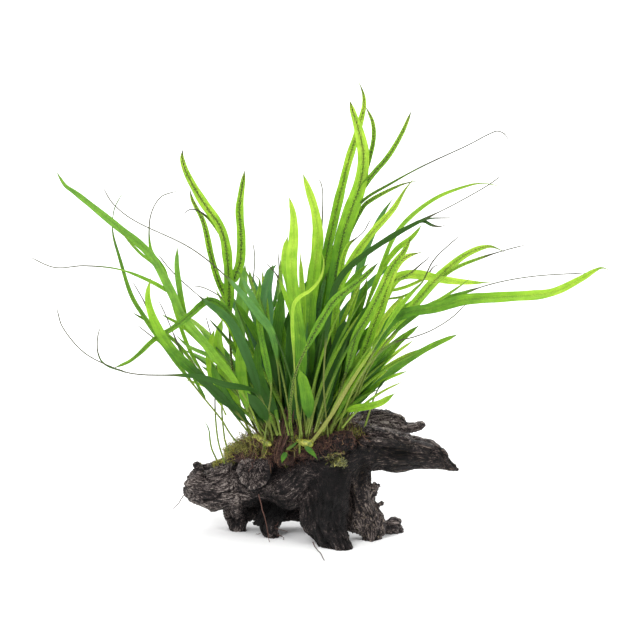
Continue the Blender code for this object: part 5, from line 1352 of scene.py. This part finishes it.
def spread_in_depth(ribbons):
    """Moves the ribbons apart in depth wherever two of them cross or run side by side in the front view."""
    number = np.concatenate([np.full(len(item["samples"]), index) for index, item in enumerate(ribbons)])
    order = np.array([item["order"] for item in ribbons])[number]
    flat = np.vstack([item["samples"][:, :2] for item in ribbons])
    half = np.concatenate([item["half"] for item in ribbons])
    start = np.concatenate([item["samples"][:, 2] for item in ribbons])
    along = np.concatenate([np.arange(len(item["samples"])) * SAMPLE_STEP for item in ribbons])
    firsts = np.concatenate([[0], np.cumsum([len(item["samples"]) for item in ribbons])])
    distance = np.linalg.norm(flat[:, None] - flat[None], axis=2)
    reach = half[:, None] + half[None] + 0.5 * SAMPLE_STEP
    near = (distance < reach) & (number[:, None] < number[None])
    same = order[:, None] == order[None]
    young = (along[:, None] < YOUNG_REACH) | (along[None] < YOUNG_REACH)
    a, b = np.nonzero(near & ~(same & young))
    need = GAP + GAP_BY_WIDTH * (half[a] + half[b])
    pair = number[a] * len(ribbons) + number[b]
    _, kind = np.unique(pair, return_inverse=True)
    lean = np.bincount(kind, weights=start[a] - start[b])
    sign = np.where(lean >= 0, 1.0, -1.0)[kind]
    moved = np.zeros(len(start))
    for _ in range(SPREAD_ROUNDS):
        depth = start + moved
        lack = np.clip(need - sign * (depth[a] - depth[b]), 0.0, None)
        push = np.zeros(len(start))
        count = np.zeros(len(start))
        for ends, way in ((a, 1.0), (b, -1.0)):
            np.add.at(push, ends, way * sign * lack * 0.5)
            np.add.at(count, ends, (lack > 0.0).astype(float))
        moved = moved + SPREAD_RATE * push / np.maximum(count, 1.0)
        for index, item in enumerate(ribbons):
            part = moved[firsts[index]:firsts[index + 1]]
            if item["root"] is not None:
                mother = next(i for i, other in enumerate(ribbons) if other is item["parent"])
                part[0] = moved[firsts[mother] + item["root"]]
            inner = 0.5 * part[1:-1] + 0.25 * (part[:-2] + part[2:])
            part[1:-1] = inner
    for index, item in enumerate(ribbons):
        item["samples"][:, 2] += moved[firsts[index]:firsts[index + 1]]


def surface_of(names):
    """The joined surface of the named CAD pieces, in millimetres, to stand stalks on."""
    points, faces = [], []
    for name in names:
        mesh = frame["nodes"][name].data
        first = len(points)
        points.extend(vertex.co / MM for vertex in mesh.vertices)
        faces.extend([first + corner for corner in face.vertices] for face in mesh.polygons)
    return BVHTree.FromPolygons(points, faces)


def foot_of(start, along, ground):
    """Where a stalk that is followed back from its start meets what it grows on."""
    for way in (-along, -UP):
        hit = ground.ray_cast(Vector(start), Vector(way), FOOT_REACH)[0]
        if hit is not None:
            reach_back = np.linalg.norm(np.array(hit) - start) - FOOT_CLEARANCE
            return start + way * max(reach_back, 0.0)
    return start


def blade_line(item, foot=None):
    """Middle line, half widths and share along a ribbon, at stations BLADE_STEP apart."""
    line = np.array([drawn(*sample) for sample in item["samples"]])
    half = item["half"]
    share = np.linspace(0.0, 1.0, len(line))
    if foot is not None:
        line = np.vstack([foot, line])
        half = np.concatenate([half[:1] * 1.25, half])
        share = np.concatenate([[0.0], share])
    fine = smooth(np.column_stack([line, half, share]), 8)
    place, length = shares_of(fine[:, :3])
    count = max(8, int(round(length / BLADE_STEP)))
    wanted = np.linspace(0.0, 1.0, count)
    fine = np.column_stack([np.interp(wanted, place, column) for column in fine.T])
    return fine[:, :3], np.maximum(fine[:, 3], 0.12), fine[:, 4], wanted * length


def blade_frame(line, share, turns):
    """Across and face directions along a blade's middle line."""
    along = unit(np.gradient(line, axis=0))
    flat = unit(np.cross(along, INTO_VIEW))
    rear = np.cross(flat, along)
    turn = np.radians(turns[0] + (turns[1] - turns[0]) * share)[:, None]
    return flat * np.cos(turn) + rear * np.sin(turn), rear * np.cos(turn) - flat * np.sin(turn)


def blade_solid(line, half, across, face, run, seed, tip_share, thinned=1.0):
    """A closed thin blade: a raised midrib, a slight keel, wavy margins, and a round section where bare."""
    leafy = ramp(0.7, 1.5, half)
    along_edge = np.column_stack([run / 9.0, run * 0, run * 0 + seed])
    wobble = 1.0 + 0.10 * leafy * (2.0 * noise(along_edge, 11) - 1.0)
    half = half * wobble
    half[-4:] *= np.array((0.85, 0.65, 0.4, 0.12))
    t = COLUMNS[None]
    h = half[:, None]
    reach_out = np.abs(t * h)
    rib = 0.16 * np.exp(-(reach_out / 0.42) ** 2)
    leaf = 0.13 + 0.07 * (1.0 - np.abs(t)) + rib
    leaf = np.where(np.abs(t) > 0.99, 0.05, leaf)
    wire = np.maximum(0.9 * h * np.sqrt(np.clip(1.0 - t**2, 0.0, 1.0)), 0.02)
    thick = (leafy[:, None] * leaf + (1.0 - leafy[:, None]) * wire) * np.reshape(thinned, (-1, 1))
    waves = np.sin(run / 2.1 + seed) * 0.6 + np.sin(run / 3.7 + 2.3 * seed) * 0.5
    lift = leafy[:, None] * (-0.34 * reach_out + 0.13 * waves[:, None] * np.sign(t) * t**2 * h)
    middle = line[:, None] + across[:, None] * (t * h)[..., None] + face[:, None] * lift[..., None]
    top = middle + face[:, None] * thick[..., None]
    bottom = middle - face[:, None] * thick[..., None]
    rows, columns = top.shape[:2]
    points = np.vstack([top.reshape(-1, 3), bottom.reshape(-1, 3)])
    count = rows * columns
    base = (np.arange(rows - 1)[:, None] * columns + np.arange(columns - 1)).ravel()
    upper = np.column_stack([base, base + 1, base + columns + 1, base + columns])
    lower = upper[:, ::-1] + count
    left = np.arange(rows - 1) * columns
    right = left + columns - 1
    rims = np.vstack([
        np.column_stack([left, left + columns, left + columns + count, left + count]),
        np.column_stack([right, right + count, right + columns + count, right + columns])])
    first = np.arange(columns - 1)
    last = first + (rows - 1) * columns
    ends = np.vstack([
        np.column_stack([first, first + count, first + 1 + count, first + 1]),
        np.column_stack([last, last + 1, last + 1 + count, last + count])])
    faces = np.vstack([upper, lower, rims, ends])
    marks = dict(
        run=np.tile(np.repeat(run, columns), 2),
        across=np.tile((t * h).ravel(), 2),
        width=np.tile(np.repeat(half, columns), 2),
        toward_tip=np.tile(np.repeat(tip_share, columns), 2))
    return points, faces, marks


def lobe_on(item, lobe, main, seed):
    """A lobe that starts inside its frond's blade and leaves it in the same plane."""
    main_line, main_half, _, main_face = main
    line, half, share, run = blade_line(lobe)
    across, face = blade_frame(line, share, (item["spec"]["turns"][1],) * 2)
    nearest = np.argmin(np.linalg.norm(line[0] - main_line, axis=1))
    window = slice(max(nearest - 12, 0), nearest + 22)
    gap = ((line[:, None] - main_line[None, window]) ** 2).sum(axis=2)
    beside = np.argmin(gap, axis=1) + window.start
    offset = line - main_line[beside]
    normal = main_face[beside]
    distance = np.linalg.norm(offset, axis=1)
    join = 1.0 - ramp(0.7, 1.9, distance / np.maximum(main_half[beside], 1.2))
    rise = (offset * normal).sum(axis=1)
    line = line - normal * (rise * join)[:, None]
    face = unit(face + normal * (join * 4.0)[:, None])
    across = unit(across - face * (across * face).sum(axis=1)[:, None])
    grow = ramp(-0.2, 0.55, run / max(4.0 * main_half[nearest], 6.0))
    half = np.maximum(half * grow, 0.2)
    return blade_solid(line, half, across, face, run, seed, share, 1.0 - 0.6 * join)


def fern_blade():
    """Living fern leaf: thin, leathery and satin, green all through, so light behind it turns it lime."""
    material, shader, output = new_material("java_fern_leaf")
    link = material.node_tree.links.new
    marks = {
        name: add_node(material, "Attribute", {"attribute_name": name}).outputs["Fac"]
        for name in ("run", "across", "age", "blue", "dots", "stipe", "thread")}
    # Leaf veins run about 0.4 mm apart along the blade.
    vein_place = add_node(material, "CombineXYZ", inputs={"X": marks["across"], "Y": marks["run"]})
    long_place = add_node(material, "Mapping", inputs={
        "Vector": vein_place.outputs["Vector"], "Scale": (2.4, 0.10, 1.0)})
    veins = add_node(material, "TexNoise", inputs={
        "Vector": long_place.outputs["Vector"], "Scale": 1.0, "Detail": 3.0, "Roughness": 0.6})
    position = add_node(material, "TexCoord")
    blotches = add_node(material, "TexNoise", inputs={
        "Vector": position.outputs["Object"], "Scale": 160.0, "Detail": 3.0})
    aged = add_node(material, "Math", {"operation": "MULTIPLY_ADD"}, {
        0: veins.outputs["Fac"], 1: 0.45, 2: marks["age"]})
    mottled = add_node(material, "Math", {"operation": "MULTIPLY_ADD"}, {
        0: blotches.outputs["Fac"], 1: 0.35, 2: aged.outputs[0]})
    shade = add_node(material, "ValToRGB", inputs={"Fac": mottled.outputs[0]}, stops=[
        (0.34, "#C2E04C"), (0.54, "#93C42C"), (0.78, "#5F961A"), (1.0, "#3B7013")])
    deep = add_node(material, "ValToRGB", inputs={"Fac": marks["age"]}, stops=[
        (0.5, 0.0), (1.0, 0.9)])
    darkened = add_node(material, "Mix", {"data_type": "RGBA"}, {
        "Factor": deep.outputs["Color"], "A": shade.outputs["Color"], "B": linear("#21490B")})
    blued = add_node(material, "Mix", {"data_type": "RGBA"}, {
        "Factor": marks["blue"], "A": darkened.outputs["Result"], "B": linear("#6FA57C")})
    # Bare stalks are straw coloured, and the threads at the tips dry to grey-brown.
    stalked = add_node(material, "Mix", {"data_type": "RGBA"}, {
        "Factor": marks["stipe"], "A": blued.outputs["Result"], "B": linear("#ABB15C")})
    threaded = add_node(material, "Mix", {"data_type": "RGBA"}, {
        "Factor": marks["thread"], "A": stalked.outputs["Result"], "B": linear("#56573A")})
    # Spore dots are about 0.5 mm across and 1 mm apart, and crowd within 1 mm of the midrib.
    dot_place = add_node(material, "Mapping", inputs={
        "Vector": vein_place.outputs["Vector"], "Scale": (1.0 / 0.8, 1.0 / 1.1, 1.0)})
    dots = add_node(material, "TexVoronoi", {"voronoi_dimensions": "2D"}, {
        "Vector": dot_place.outputs["Vector"], "Scale": 1.0, "Randomness": 0.8})
    dot_mask = add_node(material, "MapRange", inputs={
        "Value": dots.outputs["Distance"], "From Min": 0.42, "From Max": 0.25, "To Min": 0.0, "To Max": 1.0})
    off_rib = add_node(material, "Math", {"operation": "ABSOLUTE"}, {0: marks["across"]})
    near_rib = add_node(material, "MapRange", inputs={
        "Value": off_rib.outputs[0], "From Min": 1.5, "From Max": 0.3, "To Min": 0.0, "To Max": 1.0})
    dotted = add_node(material, "Math", {"operation": "MULTIPLY"}, {
        0: dot_mask.outputs["Result"], 1: near_rib.outputs["Result"]})
    # On spore-bearing leaves the midrib itself is a brown line 0.4 mm wide.
    rib_line = add_node(material, "MapRange", inputs={
        "Value": off_rib.outputs[0], "From Min": 0.45, "From Max": 0.15, "To Min": 0.0, "To Max": 0.55})
    lined = add_node(material, "Math", {"operation": "MAXIMUM"}, {
        0: dotted.outputs[0], 1: rib_line.outputs["Result"]})
    dot_share = add_node(material, "Math", {"operation": "MULTIPLY"}, {
        0: lined.outputs[0], 1: marks["dots"]})
    coloured = add_node(material, "Mix", {"data_type": "RGBA"}, {
        "Factor": dot_share.outputs[0], "A": threaded.outputs["Result"], "B": linear("#2B2A12")})
    link(coloured.outputs["Result"], shader.inputs["Base Color"])
    shader.inputs["Roughness"].default_value = 0.46
    shader.inputs["Specular IOR Level"].default_value = 0.35
    bump = add_node(material, "Bump", inputs={
        "Height": veins.outputs["Fac"], "Strength": 0.35, "Distance": 0.0003})
    link(bump.outputs["Normal"], shader.inputs["Normal"])
    glow = add_node(material, "BsdfTranslucent", inputs={"Color": coloured.outputs["Result"]})
    mixed = add_node(material, "MixShader", inputs={
        0: 0.4, 1: shader.outputs[0], 2: glow.outputs[0]})
    link(mixed.outputs[0], output.inputs["Surface"])
    return material


def frond_marks(marks, look, is_lobe, bare_tip=0.0):
    """What the leaf material reads: the frond's age, blue cast, dots, and where it is bare or a thread."""
    share = marks["toward_tip"]
    foot_age, tip_age = look["age"]
    narrow = 1.0 - ramp(0.55, 1.2, marks["width"] / look.get("stout", 1.0))
    at_foot = 1.0 - ramp(0.3, 0.6, share)
    near_tip = ramp(0.35, 0.6, share)
    own_age = tip_age + (0.5 * (foot_age - tip_age) * (1.0 - share) if is_lobe else 0.0)
    marks["age"] = own_age if is_lobe else foot_age + (tip_age - foot_age) * ramp(0.1, 0.9, share)
    marks["blue"] = look.get("blue", 0.0) * (1.0 - narrow) * ramp(0.05, 0.5, share)
    marks["dots"] = np.full(len(share), look.get("dots", 0.15))
    marks["stipe"] = narrow * at_foot * (0.0 if is_lobe else look.get("straw", 0.55))
    dryness = 0.25 + 0.75 * (bare_tip > 0.15)
    marks["thread"] = narrow * near_tip * ramp(-0.2, 0.5, 1.0 - marks["width"]) * dryness
    return {name: marks[name] for name in ("run", "across", "age", "blue", "dots", "stipe", "thread")}


def frond_part(item, order, ground, look):
    """One frond's blade from where it grows out, with what its lobes need to start on it."""
    start = np.array([drawn(*sample) for sample in item["samples"][:2]])
    foot = foot_of(start[0], unit(start[1] - start[0]), ground)
    line, half, share, run = blade_line(item, foot if np.linalg.norm(foot - start[0]) > 1.0 else None)
    across, face = blade_frame(line, share, item["spec"]["turns"])
    points, faces, marks = blade_solid(line, half, across, face, run, order, share)
    bare_tip = item["spec"].get("thread", 0.0)
    return (points, faces, frond_marks(marks, look, False, bare_tip)), (line, half, across, face)


def inner_leaf(spec):
    """A ribbon for a leaf that isn't one of the fronds."""
    samples = ribbon(spec["route"], spec["depths"], 6)
    half = half_widths(np.linspace(0.0, 1.0, len(samples)), spec["width"], spec["stalk"], 0.0)
    return dict(samples=samples, half=half, spec=dict(turns=spec.get("turns", (0, 10))))


# Where the young leaves' feet stand: the fan's middle and half width in x, its height v, how much higher its
# right end is, and the feet's depths on the wood. Leaves at the left lean back by up to LEFT_LEAN_BACK, so
# that they stay behind the broad leaves there, and none goes deeper than DEEPEST.
FAN_MIDDLE = -10.0
FAN_REACH = 21.0
FAN_HEIGHT = 63.0
FAN_RISE = 4.0
FOOT_DEPTHS = (22.0, 34.0)
LEFT_LEAN_BACK = 20.0
DEEPEST = 72.0


def crowd():
    """Young leaves that fill the fan, each leaning out as far as its foot lies from the plant's middle."""
    chance = np.random.default_rng(5)
    for count, lengths, widths, ages, depths, lean_most, blue_share in CROWDS:
        for turn in range(count):
            fan = -1.0 + 2.0 * (turn + chance.uniform(0.1, 0.9)) / count
            length = chance.uniform(*lengths) * (1.0 - 0.2 * abs(fan))
            lean = math.radians(fan * lean_most + chance.normal(0.0, 6.0))
            curl = math.radians(chance.normal(9.0 * fan, 9.0))
            x = FAN_MIDDLE + FAN_REACH * fan + chance.normal(0.0, 1.5)
            v = FAN_HEIGHT + FAN_RISE * max(fan, 0.0)
            route = [(x, v)]
            for step in range(1, 6):
                angle = 0.55 * lean + (0.5 * lean + curl) * (step / 5.0)
                x += 0.2 * length * math.sin(angle)
                v += 0.2 * length * math.cos(angle)
                route.append((x, v))
            near = chance.uniform(*depths)
            foot_depth = min(near, chance.uniform(*FOOT_DEPTHS))
            far = min(near + LEFT_LEAN_BACK * (fan < -0.25), DEEPEST)
            blue = blue_share * chance.uniform(0.5, 1.0) * (fan < 0.1)
            yield dict(
                route=route, depths=(foot_depth, 0.4 * foot_depth + 0.6 * far, far + chance.normal(0.0, 4.0)),
                width=chance.uniform(*widths), stalk=0.04,
                age=(ages[0] - 0.15 * abs(fan), chance.uniform(*ages[1:]) - 0.3 * abs(fan)),
                blue=blue, dots=chance.uniform(0.1, 0.6),
                turns=(chance.normal(0.0, 20.0), chance.normal(0.0, 25.0)))


def beside(spec, plan):
    """The frond that passes nearest to the middle of a leaf, in which the leaf is drawn."""
    middle = np.array([*spec["route"][2], spec["depths"][1]])
    gaps = [np.linalg.norm(item["samples"][:-2] - middle, axis=1).min() for item in plan]
    return plan[int(np.argmin(gaps))]["name"]


leaf_material = fern_blade()
ground = surface_of(
    ["wood_trunk", "wood_upper_spur", "wood_right_limb", "rhizome_left", "rhizome_centre",
     "root_mat_left", "root_mat_centre", "moss_right", "moss_tuft"])
fronds = plan_fronds()
young = list(INNER_LEAVES) + [(beside(spec, fronds), spec) for spec in crowd()]
for item in fronds:
    look = LOOKS.get(item["name"], dict(age=(0.3, 0.35), dots=0.3))
    main_part, main = frond_part(item, item["order"], ground, look)
    parts = [main_part]
    for number, lobe in enumerate(item["lobes"]):
        points, faces, marks = lobe_on(item, lobe, main, item["order"] + 0.7 * number + 0.4)
        parts.append((points, faces, frond_marks(marks, look, True, lobe["spec"]["thread"])))
    for number, (neighbour, spec) in enumerate(young):
        if neighbour == item["name"]:
            parts.append(frond_part(inner_leaf(spec), 50 + number, ground, spec)[0])
    firsts = np.cumsum([0] + [len(points) for points, _, _ in parts])
    new_piece(
        "leaf_" + item["name"], np.vstack([points for points, _, _ in parts]),
        np.vstack([faces + first for (_, faces, _), first in zip(parts, firsts)]),
        {name: np.concatenate([marks[name] for _, _, marks in parts]) for name in parts[0][2]},
        leaf_material, [item["name"]])

# ---------------------------------------------------------------------------------------------------
# Studio: a plain white table under soft daylight lamps. The camera looks down by the same tilt as the
# view that the object is drawn in.
# ---------------------------------------------------------------------------------------------------
FLOOR_SIZE = 6.0
LOOK_AT = drawn(0.0, 126.5, 25.0) * MM
LENS = 400.0
FRAME_WIDTH = 0.352
ROOM_BRIGHTNESS = 0.9
# Each lamp: its name, place, the height that it faces, its size in metres, and its power in watts.
LAMPS = (
    ("key_lamp", (-0.9, -1.3, 1.6), 0.1, 1.0, 26.0),
    ("fill_lamp", (1.2, -0.9, 0.9), 0.1, 1.2, 12.0),
    ("back_lamp", (0.3, 1.4, 1.3), 0.15, 1.2, 24.0),
)


def studio_paper():
    """Matt white background paper, which throws an even, soft light back."""
    material, shader, _ = new_material("white_background_paper")
    shader.inputs["Base Color"].default_value = linear("#FDFDFD")
    shader.inputs["Roughness"].default_value = 0.95
    return material


def add_lamp(name, place, aim, size, watts):
    """A square soft box that faces the point that it is aimed at."""
    lamp = bpy.data.lights.new(name, "AREA")
    lamp.size = size
    lamp.energy = watts
    made = bpy.data.objects.new(name, lamp)
    made.location = place
    made.rotation_euler = (Vector(aim) - Vector(place)).to_track_quat("-Z", "Y").to_euler()
    bpy.context.scene.collection.objects.link(made)


floor_mesh = bpy.data.meshes.new("floor")
half = FLOOR_SIZE / 2
floor_corners = [(-half, -half, 0), (half, -half, 0), (half, half, 0), (-half, half, 0)]
floor_mesh.from_pydata(floor_corners, [], [(0, 1, 2, 3)])
floor_mesh.materials.append(studio_paper())
floor = bpy.data.objects.new("floor", floor_mesh)
bpy.context.scene.collection.objects.link(floor)
floor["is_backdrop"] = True

camera_data = bpy.data.cameras.new("camera")
camera_data.sensor_width = 36.0
camera_data.lens = LENS
camera = bpy.data.objects.new("camera", camera_data)
reach = FRAME_WIDTH * LENS / camera_data.sensor_width
back = Vector((0.0, -math.cos(VIEW_TILT), math.sin(VIEW_TILT)))
camera.location = Vector(LOOK_AT) + back * reach
camera.rotation_euler = (math.pi / 2 - VIEW_TILT, 0.0, 0.0)
bpy.context.scene.collection.objects.link(camera)
bpy.context.scene.camera = camera

for name, place, height, size, watts in LAMPS:
    add_lamp(name, place, (0.0, 0.0, height), size, watts)

world = bpy.data.worlds.new("daylight_room")
world.use_nodes = True
world.node_tree.nodes["Background"].inputs["Color"].default_value = (1.0, 1.0, 1.0, 1.0)
world.node_tree.nodes["Background"].inputs["Strength"].default_value = ROOM_BRIGHTNESS
bpy.context.scene.world = world
bpy.context.scene.view_settings.view_transform = "Standard"

boxes = {"cad": cad_box, "visual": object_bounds()}
{name: [list(corner) for corner in box] for name, box in boxes.items()}
